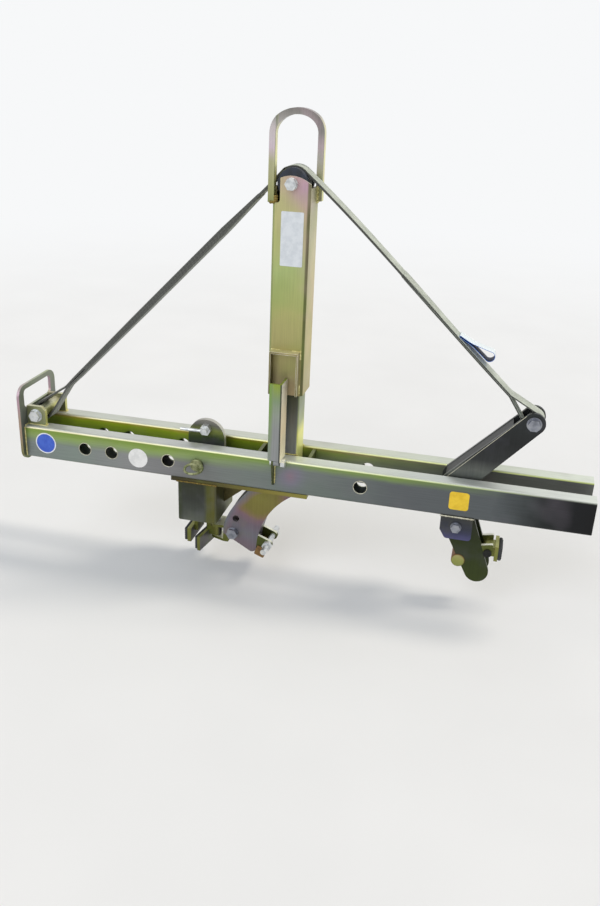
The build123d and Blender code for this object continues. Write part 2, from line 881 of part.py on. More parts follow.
with BuildPart() as foot_rubber:
    with BuildSketch(level_plane(bar_low_z + pad_rubber_inset)):
        with Locations((foot_bar_x - foot_bar_thick / 2 - pad_rubber / 2, 0)):
            Rectangle(pad_rubber, 2 * (foot_bar_half - pad_rubber_inset))
    extrude(amount=foot_bar_height - 2 * pad_rubber_inset)
    fillet(foot_rubber.edges().filter_by(Axis.Z), radius=pad_rubber_radius)
foot_rubber.part.label = "foot_rubber"
export_step(foot_rubber.part, "parts/foot_rubber.step")

# Curved arm under the carriage: two plates and the web that follows their hollow side
toe = (arm_toe_x, rail_bottom_z - arm_toe_drop)
throat = (arm_throat_x, rail_bottom_z - arm_throat_drop)
arm_shoulder = (arm_top_right, carriage_face_z)
with BuildPart() as grip_arm:
    belly = (arm_belly_x, rail_bottom_z - arm_belly_drop)
    heel = (arm_heel_x, rail_bottom_z - arm_heel_drop)
    top_way = (-sin(radians(arm_top_lean)), -cos(radians(arm_top_lean)))
    heel_way = (sin(radians(arm_heel_lean)), -cos(radians(arm_heel_lean)))
    for arm_back in (-arm_inner_y, arm_outer_y):
        with BuildSketch(front_plane(arm_back)):
            with BuildLine():
                Line(arm_shoulder, (arm_top_left, carriage_face_z))
                Spline((arm_top_left, carriage_face_z), belly, heel, tangents=(top_way, heel_way))
                Line(heel, toe)
                ThreePointArc(toe, throat, arm_shoulder)
            make_face()
            with Locations((arm_hole_x, rail_bottom_z - arm_hole_drop)):
                Circle(arm_hole_radius, mode=Mode.SUBTRACT)
            with Locations((arm_bolt_x, arm_bolt_z)):
                Circle(screw_radius + bolt_clearance, mode=Mode.SUBTRACT)
        extrude(amount=arm_plate)
    tips = grip_arm.edges().filter_by(Axis.Y).group_by(Axis.Z)[0]
    fillet(tips, radius=arm_tip_radius)
grip_arm.part.label = "grip_arm"
export_step(grip_arm.part, "parts/grip_arm.step")

with BuildPart() as arm_web_strip:
    web_foot = (toe[0], toe[1] + arm_web_foot)
    with BuildSketch(front_plane(arm_inner_y)):
        with BuildLine():
            ThreePointArc(web_foot, throat, arm_shoulder)
            Line(arm_shoulder, (arm_shoulder[0] - arm_web, arm_shoulder[1]))
            ThreePointArc(
                (arm_shoulder[0] - arm_web, arm_shoulder[1]),
                (throat[0] - arm_web, throat[1]),
                (web_foot[0] - arm_web, web_foot[1]),
            )
            Line((web_foot[0] - arm_web, web_foot[1]), web_foot)
        make_face()
    extrude(amount=2 * arm_inner_y)
arm_web_strip.part.label = "arm_web_strip"
export_step(arm_web_strip.part, "parts/arm_web_strip.step")

with BuildPart() as arm_bolt:
    arm_end = nut_end(arm_outer_y, screw_radius)
    add(bolt_y(arm_bolt_x, arm_bolt_z, -arm_outer_y, arm_end, screw_radius, screw_hex, screw_washer))
arm_bolt.part.label = "arm_bolt"
export_step(arm_bolt.part, "parts/arm_bolt.step")

# Shelf bracket on the arm, the upright pin in it and the pad that swivels on the pin
shelf_gap = arm_pad_tongue / 2 + pad_play
shelf_low = arm_pad_z - shelf_gap - arm_shelf_plate
shelf_high = arm_pad_z + shelf_gap + arm_shelf_plate
with BuildPart() as arm_shelf:
    add(shelf_plate(shelf_low, 0))
    add(shelf_plate(shelf_high - arm_shelf_plate, arm_shelf_half - arm_shelf_nose))
    with BuildSketch(level_plane(shelf_low)):
        with Locations((arm_shelf_root_x, 0)):
            Rectangle(2 * arm_shelf_plate, 2 * (arm_shelf_half - jaw_ear_corner))
    extrude(amount=shelf_high - shelf_low)
    add(pin_z(arm_pad_x, shelf_low, shelf_high, pad_pin_radius), mode=Mode.SUBTRACT)
    add(grip_arm.part, mode=Mode.SUBTRACT)
arm_shelf.part.label = "arm_shelf"
export_step(arm_shelf.part, "parts/arm_shelf.step")

with BuildPart() as arm_pad_pin:
    add(pin_z(arm_pad_x, shelf_low, shelf_high, pad_pin_radius))
    add(pin_z(arm_pad_x, shelf_high, shelf_high + pad_pin_head, pad_pin_radius + pad_pin_collar))
arm_pad_pin.part.label = "arm_pad_pin"
export_step(arm_pad_pin.part, "parts/arm_pad_pin.step")

arm_bar_low = arm_pad_z - arm_pad_hang - pad_bar_height / 2
with BuildPart() as arm_pad_bar:
    with BuildSketch(pad_plane(arm_pad_x, arm_pad_z - arm_pad_tongue / 2, arm_pad_angle)):
        Circle(pad_tongue_radius)
        with Locations((-pad_reach / 2, 0)):
            Rectangle(pad_reach, 2 * pad_tongue_radius)
        Circle(pad_pin_radius + running_fit, mode=Mode.SUBTRACT)
    extrude(amount=arm_pad_tongue)
    with BuildSketch(pad_plane(arm_pad_x, arm_bar_low, arm_pad_angle)):
        with Locations((-pad_reach - pad_bar_thick / 2, 0)):
            Rectangle(pad_bar_thick, 2 * arm_pad_half)
    extrude(amount=pad_bar_height)
    with BuildSketch(pad_plane(arm_pad_x, arm_bar_low, arm_pad_angle)):
        with Locations((-pad_reach - pad_bar_thick / 2, 0)):
            Rectangle(pad_bar_thick, 2 * pad_tongue_radius)
    extrude(amount=arm_pad_z + arm_pad_tongue / 2 - arm_bar_low)
arm_pad_bar.part.label = "arm_pad_bar"
export_step(arm_pad_bar.part, "parts/arm_pad_bar.step")

with BuildPart() as arm_pad_rubber:
    with BuildSketch(pad_plane(arm_pad_x, arm_bar_low + pad_rubber_inset, arm_pad_angle)):
        with Locations((-pad_reach - pad_bar_thick - pad_rubber / 2, 0)):
            Rectangle(pad_rubber, 2 * (arm_pad_half - pad_rubber_inset))
    extrude(amount=pad_bar_height - 2 * pad_rubber_inset)
    fillet(arm_pad_rubber.edges().filter_by(Axis.Z), radius=pad_rubber_radius)
arm_pad_rubber.part.label = "arm_pad_rubber"
export_step(arm_pad_rubber.part, "parts/arm_pad_rubber.step")

# Stop on the hollow side of the arm: two ears, a cross rod and a rubber block at the toe
stop_rounds = (
    (stop_root_x, rail_bottom_z - stop_root_drop, stop_root_radius),
    (stop_pin_x, stop_pin_z, stop_ear_radius),
)
with BuildPart() as stop_ears:
    add(rounded_ear(-arm_inner_y, arm_plate, stop_rounds))
    add(rounded_ear(arm_outer_y, arm_plate, stop_rounds))
    add(grip_arm.part, mode=Mode.SUBTRACT)
    add(rod_y(stop_pin_x, stop_pin_z, -arm_outer_y, arm_outer_y, stop_rod_radius), mode=Mode.SUBTRACT)
stop_ears.part.label = "stop_ears"
export_step(stop_ears.part, "parts/stop_ears.step")

with BuildPart() as stop_rod:
    rod_front = -arm_outer_y - stop_rod_front
    rod_back = arm_outer_y + stop_rod_back
    stop_nut = 2 * stop_rod_radius * nut_share
    add(rod_y(stop_pin_x, stop_pin_z, rod_front, rod_back, stop_rod_radius))
    add(hex_y(stop_pin_x, stop_pin_z, -arm_outer_y - stop_nut, -arm_outer_y, stop_hex))
    add(hex_y(stop_pin_x, stop_pin_z, arm_outer_y, arm_outer_y + stop_nut, stop_hex))
stop_rod.part.label = "stop_rod"
export_step(stop_rod.part, "parts/stop_rod.step")

with BuildPart() as stop_buffer:
    block_z = rail_bottom_z - stop_block_drop
    with BuildSketch(turned_plane(stop_block_x, stop_block_half, block_z, -stop_block_tilt)):
        RectangleRounded(stop_block_side, stop_block_side, stop_block_round)
    extrude(amount=2 * stop_block_half)
    for neighbour in (grip_arm, arm_web_strip, stop_ears):
        add(neighbour.part, mode=Mode.SUBTRACT)
stop_buffer.part.label = "stop_buffer"
export_step(stop_buffer.part, "parts/stop_buffer.step")

# Lock pin with its pull ring
with BuildPart() as lock_pin:
    proud_y = -rail_outer_y - lock_pin_proud
    add(rod_y(lock_pin_x, pin_row_z, proud_y, rail_outer_y + lock_pin_tail, lock_pin_radius))
    chamfer(lock_pin.edges().filter_by(GeomType.CIRCLE), length=lock_pin_chamfer)
    add(pull_ring(proud_y - ring_radius + ring_seat))
lock_pin.part.label = "lock_pin"
export_step(lock_pin.part, "parts/lock_pin.step")

# Pivot of the lever under the rails
bracket_left = pivot_x - bracket_half
bracket_right = pivot_x + bracket_half
bracket_foot_z = rail_bottom_z - bracket_drop
with BuildPart() as pivot_brackets:
    for side in (-1, 1):
        bracket_back = rail_outer_y if side > 0 else -bracket_inner_y
        with BuildSketch(front_plane(bracket_back)):
            with BuildLine():
                Polyline(
                    (bracket_left, rail_bottom_z),
                    (bracket_right, rail_bottom_z),
                    (bracket_right, bracket_foot_z),
                    (bracket_left + bracket_cut, bracket_foot_z),
                    (bracket_left, bracket_foot_z + bracket_cut_rise),
                    close=True,
                )
            bracket_outline = make_face()
            fillet(bracket_outline.vertices().group_by(Axis.Y)[0], radius=bracket_corner)
            with Locations((pivot_x, pivot_z)):
                Circle(pivot_bolt_radius + bolt_clearance, mode=Mode.SUBTRACT)
        extrude(amount=bracket_plate)
pivot_brackets.part.label = "pivot_brackets"
export_step(pivot_brackets.part, "parts/pivot_brackets.step")

with BuildPart() as pivot_bush:
    bush_bore = pivot_bolt_radius + running_fit
    add(tube_y(pivot_x, pivot_z, -bracket_inner_y, bracket_inner_y, pivot_bush_radius, bush_bore))
pivot_bush.part.label = "pivot_bush"
export_step(pivot_bush.part, "parts/pivot_bush.step")

with BuildPart() as pivot_spacers:
    spacer_bore = pivot_bush_radius + running_fit
    spacer_inner = lever_outer_y + pad_play
    add(tube_y(pivot_x, pivot_z, spacer_inner, bracket_inner_y, spacer_radius, spacer_bore))
    add(tube_y(pivot_x, pivot_z, -bracket_inner_y, -spacer_inner, spacer_radius, spacer_bore))
pivot_spacers.part.label = "pivot_spacers"
export_step(pivot_spacers.part, "parts/pivot_spacers.step")

with BuildPart() as pivot_bolt:
    pivot_end = nut_end(rail_outer_y, pivot_bolt_radius)
    add(bolt_y(pivot_x, pivot_z, -rail_outer_y, pivot_end, pivot_bolt_radius, pivot_hex, pivot_washer))
pivot_bolt.part.label = "pivot_bolt"
export_step(pivot_bolt.part, "parts/pivot_bolt.step")

# Lever: two side plates tied by a web, with the strap sleeve at the top
with BuildPart() as lever_front_plate:
    add(lever_side(-lever_inner_y))
lever_front_plate.part.label = "lever_front_plate"
export_step(lever_front_plate.part, "parts/lever_front_plate.step")

with BuildPart() as lever_rear_plate:
    add(lever_side(lever_outer_y))
lever_rear_plate.part.label = "lever_rear_plate"
export_step(lever_rear_plate.part, "parts/lever_rear_plate.step")

with BuildPart() as lever_web:
    band_length = hypot(lever_end_x - knee_x, lever_end_z - knee_z)
    band_taper = degrees(asin((knee_radius - lever_end_radius) / band_length))
    band_angle = degrees(atan2(lever_end_z - knee_z, lever_end_x - knee_x)) - band_taper
    with BuildSketch(turned_plane(knee_x, lever_inner_y, knee_z, band_angle)):
        web_run = band_length - web_end_gap
        with Locations((web_run / 2, knee_radius - web_inset - web_thick / 2)):
            Rectangle(web_run, web_thick)
    extrude(amount=2 * lever_inner_y)
lever_web.part.label = "lever_web"
export_step(lever_web.part, "parts/lever_web.step")

with BuildPart() as lever_sleeve:
    sleeve_bore = bolt_radius + running_fit
    add(tube_y(lever_end_x, lever_end_z, -lever_inner_y, lever_inner_y, sleeve_radius, sleeve_bore))
lever_sleeve.part.label = "lever_sleeve"
export_step(lever_sleeve.part, "parts/lever_sleeve.step")

with BuildPart() as lever_bolt:
    lever_bolt_end = nut_end(lever_outer_y, bolt_radius)
    add(
        bolt_y(
            lever_end_x,
            lever_end_z,
            -lever_outer_y,
            lever_bolt_end,
            bolt_radius,
            bolt_hex,
            washer_radius,
        )
    )
lever_bolt.part.label = "lever_bolt"
export_step(lever_bolt.part, "parts/lever_bolt.step")

with BuildPart() as lever_nut:
    add(nut_y(lever_end_x, lever_end_z, lever_outer_y, bolt_radius, bolt_hex, washer_radius))
lever_nut.part.label = "lever_nut"
export_step(lever_nut.part, "parts/lever_nut.step")

# Gripping end of the lever: two ears with a cross pin, the pad on it, and a round buffer inside
ear_root_x = jaw_pad_x - jaw_ear_root
ear_corner_z = jaw_pad_z + jaw_ear_rise
ear_corner_x = jaw_pad_x + jaw_ear_radius - jaw_ear_corner
ear_root_z = ear_corner_z - (ear_corner_x - ear_root_x) * sin(radians(jaw_ear_slope))
jaw_rounds = (
    (jaw_pad_x, jaw_pad_z, jaw_ear_radius),
    (ear_corner_x, ear_corner_z, jaw_ear_corner),
    (ear_root_x, ear_root_z, jaw_ear_corner),
    (ear_root_x, jaw_pad_z, jaw_ear_radius),
)
with BuildPart() as jaw_ears:
    add(rounded_ear(-lever_inner_y, lever_plate, jaw_rounds))
    add(rounded_ear(lever_outer_y, lever_plate, jaw_rounds))
    add(lever_front_plate.part, mode=Mode.SUBTRACT)
    add(lever_rear_plate.part, mode=Mode.SUBTRACT)
    add(rod_y(jaw_pad_x, jaw_pad_z, -lever_outer_y, lever_outer_y, pad_pin_radius), mode=Mode.SUBTRACT)
jaw_ears.part.label = "jaw_ears"
export_step(jaw_ears.part, "parts/jaw_ears.step")

with BuildPart() as jaw_pad_pin:
    pin_front = -lever_outer_y - pad_pin_head
    pin_back = lever_outer_y + pad_pin_head
    collar = pad_pin_radius + pad_pin_collar
    add(rod_y(jaw_pad_x, jaw_pad_z, pin_front, pin_back, pad_pin_radius))
    add(rod_y(jaw_pad_x, jaw_pad_z, pin_front, -lever_outer_y, collar))
    add(rod_y(jaw_pad_x, jaw_pad_z, lever_outer_y, pin_back, collar))
jaw_pad_pin.part.label = "jaw_pad_pin"
export_step(jaw_pad_pin.part, "parts/jaw_pad_pin.step")

jaw_bar_x = jaw_pad_x + pad_reach
with BuildPart() as jaw_pad_bar:
    tongue_half = lever_inner_y - pad_play
    with BuildSketch(front_plane(tongue_half)):
        with Locations((jaw_pad_x, jaw_pad_z)):
            Circle(pad_tongue_radius)
        with Locations((jaw_pad_x + pad_reach / 2, jaw_pad_z)):
            Rectangle(pad_reach, 2 * pad_tongue_radius)
        with Locations((jaw_pad_x, jaw_pad_z)):
            Circle(pad_pin_radius + running_fit, mode=Mode.SUBTRACT)
    extrude(amount=2 * tongue_half)
    with BuildSketch(front_plane(jaw_pad_half)):
        with Locations((jaw_bar_x + pad_bar_thick / 2, jaw_pad_z)):
            Rectangle(pad_bar_thick, pad_bar_height)
    extrude(amount=2 * jaw_pad_half)
jaw_pad_bar.part.label = "jaw_pad_bar"
export_step(jaw_pad_bar.part, "parts/jaw_pad_bar.step")

with BuildPart() as jaw_pad_rubber:
    rubber_half = jaw_pad_half - pad_rubber_inset
    with BuildSketch(front_plane(rubber_half)):
        with Locations((jaw_bar_x + pad_bar_thick + pad_rubber / 2, jaw_pad_z)):
            Rectangle(pad_rubber, pad_bar_height - 2 * pad_rubber_inset)
    extrude(amount=2 * rubber_half)
    fillet(jaw_pad_rubber.edges().filter_by(Axis.Y), radius=pad_rubber_radius)
jaw_pad_rubber.part.label = "jaw_pad_rubber"
export_step(jaw_pad_rubber.part, "parts/jaw_pad_rubber.step")

with BuildPart() as jaw_buffer:
    add(rod_y(buffer_x, buffer_z, -buffer_half, buffer_half, buffer_radius))
    fillet(jaw_buffer.edges().filter_by(GeomType.CIRCLE), radius=buffer_crown)
jaw_buffer.part.label = "jaw_buffer"
export_step(jaw_buffer.part, "parts/jaw_buffer.step")

# Prop that folds forward from the front rail: a face plate, a flange and a knuckle on one pin
with BuildPart() as prop_strut:
    face_foot_z = prop_pin_z + prop_eye_radius + prop_face_gap
    with BuildSketch(level_plane(face_foot_z)):
        with Locations(((prop_left + prop_right) / 2, prop_front_y + prop_plate / 2)):
            Rectangle(prop_right - prop_left, prop_plate)
    extrude(amount=prop_top_z - face_foot_z)
    flange_x = prop_right - prop_plate
    with BuildSketch(end_plane(flange_x)):
        with Locations(((prop_front_y + prop_back_y) / 2, (prop_foot_z + prop_top_z) / 2)):
            Rectangle(prop_back_y - prop_front_y, prop_top_z - prop_foot_z)
        with Locations((prop_pin_y, prop_pin_z)):
            Circle(prop_eye_radius)
        neck = prop_foot_z - prop_pin_z
        with Locations((prop_pin_y, prop_pin_z + neck / 2)):
            Rectangle(2 * prop_eye_radius, neck)
    extrude(amount=prop_plate)
    knuckle_x = prop_lug_right + prop_eye_play
    with BuildSketch(end_plane(knuckle_x)):
        with Locations((prop_pin_y, prop_pin_z)):
            Circle(prop_eye_radius)
    extrude(amount=flange_x - knuckle_x)
    with BuildSketch(end_plane(knuckle_x)):
        with Locations((prop_pin_y, prop_pin_z)):
            Circle(prop_pin_radius + running_fit)
    extrude(amount=prop_right - knuckle_x, mode=Mode.SUBTRACT)
prop_strut.part.label = "prop_strut"
export_step(prop_strut.part, "parts/prop_strut.step")

with BuildPart() as prop_lug:
    with BuildSketch(end_plane(prop_lug_left)):
        lug_edge_y = -rail_outer_y - prop_lug_corner
        lug_low_z = rail_top_z - prop_lug_drop + prop_lug_corner
        lug_high_z = rail_top_z - rail_corner - prop_lug_corner
        with Locations((prop_pin_y, prop_pin_z)):
            Circle(prop_eye_radius)
        with Locations((lug_edge_y, lug_high_z), (lug_edge_y, lug_low_z)):
            Circle(prop_lug_corner)
        make_hull()
    extrude(amount=prop_lug_plate)
    with BuildSketch(end_plane(prop_lug_left)):
        with Locations((prop_pin_y, prop_pin_z)):
            Circle(prop_pin_radius)
    extrude(amount=prop_lug_plate, mode=Mode.SUBTRACT)
prop_lug.part.label = "prop_lug"
export_step(prop_lug.part, "parts/prop_lug.step")

with BuildPart() as prop_pin:
    nut_x = prop_right + prop_eye_play
    with BuildSketch(end_plane(prop_lug_left)):
        with Locations((prop_pin_y, prop_pin_z)):
            Circle(prop_pin_radius)
    extrude(amount=nut_x - prop_lug_left)
    with BuildSketch(end_plane(prop_lug_left - prop_pin_head)):
        with Locations((prop_pin_y, prop_pin_z)):
            Circle(prop_pin_radius + prop_pin_head)
    extrude(amount=prop_pin_head)
    with BuildSketch(end_plane(nut_x)):
        with Locations((prop_pin_y, prop_pin_z)):
            RegularPolygon(prop_nut_hex / 2, 6, major_radius=False, rotation=30)
    extrude(amount=prop_nut_length)
prop_pin.part.label = "prop_pin"
export_step(prop_pin.part, "parts/prop_pin.step")

# Strap: straight runs from the roller, and the sewn eyes that slide along them
left_foot, left_length = strap_line(anchor_x, anchor_z, -1)
right_foot, right_length = strap_line(lever_end_x, lever_end_z, 1)
with BuildPart() as strap_left_run:
    add(strap_run(left_foot, -1, left_run_length))
strap_left_run.part.label = "strap_left_run"
export_step(strap_left_run.part, "parts/strap_left_run.step")

with BuildPart() as strap_left_eye:
    add(strap_eye(left_foot, -1, left_eye_start, left_run_length, left_length, left_eye_length))
strap_left_eye.part.label = "strap_left_eye"
export_step(strap_left_eye.part, "parts/strap_left_eye.step")

with BuildPart() as strap_right_run:
    add(strap_run(right_foot, 1, right_run_length))
    with BuildSketch(front_plane(strap_width / 2)):
        lap_end = left_foot % 360 - strap_seam_gap
        with BuildLine():
            for radius in (strap_mid - strap_ply / 2, strap_mid + strap_ply / 2):
                CenterArc((0, axle_z), radius, right_foot, lap_end - right_foot)
            for angle in (right_foot, lap_end):
                side = Vector(cos(radians(angle)), sin(radians(angle)))
                low = Vector(0, axle_z) + side * (strap_mid - strap_ply / 2)
                high = Vector(0, axle_z) + side * (strap_mid + strap_ply / 2)
                Line(low, high)
        make_face()
    extrude(amount=strap_width)
strap_right_run.part.label = "strap_right_run"
export_step(strap_right_run.part, "parts/strap_right_run.step")

with BuildPart() as strap_right_eye:
    add(strap_eye(right_foot, 1, right_eye_start, right_run_length, right_length, right_eye_length))
strap_right_eye.part.label = "strap_right_eye"
export_step(strap_right_eye.part, "parts/strap_right_eye.step")

# Blank tag sewn to the right eye: a loose loop of thin tape
with BuildPart() as strap_tag:
    tag_root = right_run_length + slot_run_out + eye_taper + tag_gap
    tag_plane = strap_plane(right_foot, 1, tag_half)
    for inset, mode in ((0, Mode.ADD), (tag_thick, Mode.SUBTRACT)):
        with BuildSketch(tag_plane):
            with Locations((tag_root, eye_ply + 2 * tag_thick)):
                Circle(2 * tag_thick - inset)
            with Locations((tag_root + tag_length, eye_ply + tag_lift)):
                Circle(tag_radius - inset)
            make_hull()
        extrude(amount=2 * tag_half, mode=mode)
strap_tag.part.label = "strap_tag"
export_step(strap_tag.part, "parts/strap_tag.step")
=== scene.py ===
import math
import bmesh
import bpy
from mathutils import Matrix, Vector


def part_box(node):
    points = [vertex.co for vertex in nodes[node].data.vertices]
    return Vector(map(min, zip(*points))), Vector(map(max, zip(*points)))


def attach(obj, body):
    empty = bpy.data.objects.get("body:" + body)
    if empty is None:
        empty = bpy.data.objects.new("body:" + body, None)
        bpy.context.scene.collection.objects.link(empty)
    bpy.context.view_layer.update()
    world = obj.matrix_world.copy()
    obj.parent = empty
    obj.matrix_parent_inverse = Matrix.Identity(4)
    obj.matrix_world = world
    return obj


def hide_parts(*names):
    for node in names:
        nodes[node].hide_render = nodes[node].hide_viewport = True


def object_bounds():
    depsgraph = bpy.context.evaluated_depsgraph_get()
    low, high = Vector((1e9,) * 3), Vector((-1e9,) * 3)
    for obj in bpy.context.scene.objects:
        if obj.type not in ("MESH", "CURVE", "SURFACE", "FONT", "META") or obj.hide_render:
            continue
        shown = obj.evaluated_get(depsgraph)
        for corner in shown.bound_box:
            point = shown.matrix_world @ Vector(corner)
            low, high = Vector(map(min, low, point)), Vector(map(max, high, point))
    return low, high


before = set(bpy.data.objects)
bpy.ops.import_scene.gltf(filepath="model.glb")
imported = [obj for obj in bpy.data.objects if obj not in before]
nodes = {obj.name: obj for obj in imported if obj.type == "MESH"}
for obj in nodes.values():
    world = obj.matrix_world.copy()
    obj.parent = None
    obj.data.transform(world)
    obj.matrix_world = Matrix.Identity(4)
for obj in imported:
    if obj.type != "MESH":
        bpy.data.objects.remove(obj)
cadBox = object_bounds()
mm = 0.001


def linear(code, alpha=1.0):
    # sRGB hex to the linear colour that a socket takes
    parts = [int(code[i:i + 2], 16) / 255 for i in (1, 3, 5)]
    return tuple(p / 12.92 if p <= 0.04045 else ((p + 0.055) / 1.055) ** 2.4 for p in parts) + (alpha,)


def setInputs(node, links):
    for name, value in links.items():
        if isinstance(value, bpy.types.NodeSocket):
            node.id_data.links.new(value, node.inputs[name])
        else:
            node.inputs[name].default_value = value


def addNode(tree, kind, links=None, stops=None, **settings):
    # one node; links are sockets or plain values by input, stops are (place, hex, alpha)
    node = tree.nodes.new(kind)
    for name, value in settings.items():
        setattr(node, name, value)
    if stops:
        ramp = node.color_ramp.elements
        while len(ramp) < len(stops):
            ramp.new(1.0)
        for element, stop in zip(ramp, stops):
            element.position = stop[0]
            element.color = linear(*stop[1:])
    setInputs(node, links or {})
    return node


def newMaterial(name):
    material = bpy.data.materials.new(name)
    material.use_nodes = True
    return material, material.node_tree, material.node_tree.nodes["Principled BSDF"]


def addPiece(name, mesh, body, material=None):
    piece = bpy.data.objects.new(name, mesh)
    bpy.context.scene.collection.objects.link(piece)
    if material:
        mesh.materials.clear()
        mesh.materials.append(material)
    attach(piece, body)
    return piece


def middle(node):
    low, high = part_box(node)
    return (low + high) / 2


mastLow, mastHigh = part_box("mast_tube")
railLow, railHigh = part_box("front_rail")
bailLow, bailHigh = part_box("lifting_bail")
propLow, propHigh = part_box("prop_strut")
armLow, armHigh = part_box("grip_arm")
boxLow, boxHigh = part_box("carriage_box")
bracketLow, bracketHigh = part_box("pivot_brackets")
toRight, toBack, toTop, toFront = (1, 0, 0), (0, 1, 0), (0, 0, 1), (0, -1, 0)
toFrontTop, toFrontRight, toFrontLeft = (0, -0.707, 0.707), (0.707, -0.707, 0), (-0.707, -0.707, 0)


def above(height):
    # a height in millimetres over the top of the rails
    return railHigh.z + height * mm


# sizes in millimetres; the real streaks are about 0.5 mm wide and are drawn coarser so that they show
steelFacts = {"streakWide": 2.5, "streakLong": 120, "streakDepth": 0.08, "grain": 3, "grainDepth": 0.4,
              "rough": 0.42, "satin": 0.08, "metal": 0.55, "turn": (0.45, 0.9)}


# A surface whose colour drifts in layers: each layer runs along a way or out from a centre, may hold only
# on faces that look one way, and may fade along another way
def layeredFinish(look):
    material, tree, shader = newMaterial(look["name"])
    spot = addNode(tree, "ShaderNodeTexCoord")
    cloud = addNode(tree, "ShaderNodeTexNoise", {
        "Vector": spot.outputs["Object"], "Scale": 1 / (look["cloud"] * mm),
        "Detail": 3.0, "Roughness": 0.55})
    sway = addNode(tree, "ShaderNodeMath", {0: cloud.outputs[0], 1: 0.5}, operation="SUBTRACT")
    colour = None
    for layer in look["layers"]:
        if "centre" in layer:
            place = addNode(tree, "ShaderNodeVectorMath", {
                0: spot.outputs["Object"], 1: layer["centre"]}, operation="DISTANCE")
        else:
            place = addNode(tree, "ShaderNodeVectorMath", {
                0: spot.outputs["Object"], 1: layer["along"]}, operation="DOT_PRODUCT")
        drift = addNode(tree, "ShaderNodeMath", {
            0: sway.outputs[0], 1: layer.get("sway", 0) * mm, 2: place.outputs["Value"]},
            operation="MULTIPLY_ADD")
        spread = addNode(tree, "ShaderNodeMapRange", {
            "Value": drift.outputs[0], "From Min": layer["span"][0], "From Max": layer["span"][1]})
        ramp = addNode(tree, "ShaderNodeValToRGB", {0: spread.outputs[0]}, stops=layer["stops"])
        if colour is None:
            colour = ramp.outputs["Color"]
            continue
        share = ramp.outputs["Alpha"]
        holds = []
        if "facing" in layer:
            holds.append(("Normal", layer["facing"], *layer.get("turn", steelFacts["turn"])))
        if "fade" in layer:
            holds.append(("Object", *layer["fade"]))
        for kind, way, gone, full in holds:
            where = addNode(tree, "ShaderNodeVectorMath", {
                0: spot.outputs[kind], 1: way}, operation="DOT_PRODUCT")
            held = addNode(tree, "ShaderNodeMapRange", {
                "Value": where.outputs["Value"], "From Min": gone, "From Max": full})
            share = addNode(tree, "ShaderNodeMath", {0: share, 1: held.outputs[0]},
                            operation="MULTIPLY").outputs[0]
        colour = addNode(tree, "ShaderNodeMix", {0: share, 6: colour, 7: ramp.outputs["Color"]},
                         data_type="RGBA").outputs[2]
    for number, (tint, size, most) in enumerate(look.get("tints", ())):
        blot = addNode(tree, "ShaderNodeTexNoise", {
            "Vector": spot.outputs["Object"], "W": 3.7 * number, "Scale": 1 / (size * mm), "Detail": 2.0},
            noise_dimensions="4D")
        share = addNode(tree, "ShaderNodeMapRange", {
            "Value": blot.outputs[0], "From Min": 0.5, "From Max": 0.72, "To Max": most})
        colour = addNode(tree, "ShaderNodeMix", {0: share.outputs[0], 6: colour, 7: linear(tint)},
                         data_type="RGBA").outputs[2]
    # drawn streaks along the piece
    stretch = [1 / (steelFacts["streakWide"] * mm)] * 3
    stretch[look["grain"]] = 1 / (steelFacts["streakLong"] * mm)
    lines = addNode(tree, "ShaderNodeMapping", {"Vector": spot.outputs["Object"], "Scale": stretch})
    streak = addNode(tree, "ShaderNodeTexNoise", {"Vector": lines.outputs[0], "Scale": 1.0, "Detail": 2.0})
    depth = steelFacts["streakDepth"]
    shade = addNode(tree, "ShaderNodeMapRange", {
        "Value": streak.outputs[0], "From Min": 0.3, "From Max": 0.7,
        "To Min": 1 - depth, "To Max": 1 + depth})
    toned = addNode(tree, "ShaderNodeHueSaturation", {"Color": colour, "Value": shade.outputs[0]})
    rough, spread = look.get("rough", steelFacts["rough"]), steelFacts["satin"]
    satin = addNode(tree, "ShaderNodeMapRange", {
        "Value": cloud.outputs[0], "From Min": 0.3, "From Max": 0.7,
        "To Min": rough - spread, "To Max": rough + spread})
    grain = addNode(tree, "ShaderNodeTexNoise", {
        "Vector": spot.outputs["Object"], "Scale": 1 / (steelFacts["grain"] * mm), "Detail": 2.0})
    bump = addNode(tree, "ShaderNodeBump", {
        "Strength": 0.12, "Distance": steelFacts["grainDepth"] * mm, "Height": grain.outputs[0]})
    setInputs(shader, {
        "Base Color": toned.outputs[0], "Roughness": satin.outputs[0], "Normal": bump.outputs[0],
        "Metallic": look.get("metal", steelFacts["metal"])})
    return material


def band(along, span, stops, alpha=1.0, **rest):
    # a layer along a way; stops that give no alpha of their own take the layer's
    return dict(rest, along=along, span=span, stops=[(stop + (alpha,))[:3] for stop in stops])


def pool(centre, span, stops, **rest):
    # a layer round a centre
    return dict(rest, centre=centre, span=span, stops=stops)


mastSpan, railSpan = (mastLow.z, mastHigh.z), (railLow.x, railHigh.x)
bailSpan, wallSpan = (bailLow.z, bailHigh.z), (railLow.z, railHigh.z)
propSpan, propWide = (propLow.z, propHigh.z), (propLow.x, propHigh.x)
boxSpan, boxWide = (boxLow.z, boxHigh.z), (boxLow.x, boxHigh.x)
armSpan, bracketSpan = (armLow.z, armHigh.z), (bracketLow.z, bracketHigh.z)
endSpan, lugSpan = (above(-109), above(124)), (above(-100), above(120))
webSpan, bufferSpan = (above(-20), above(60)), (above(-290), above(-240))
bedSpan, pocketWide = (-328 * mm, 84 * mm), (-40 * mm, 40 * mm)

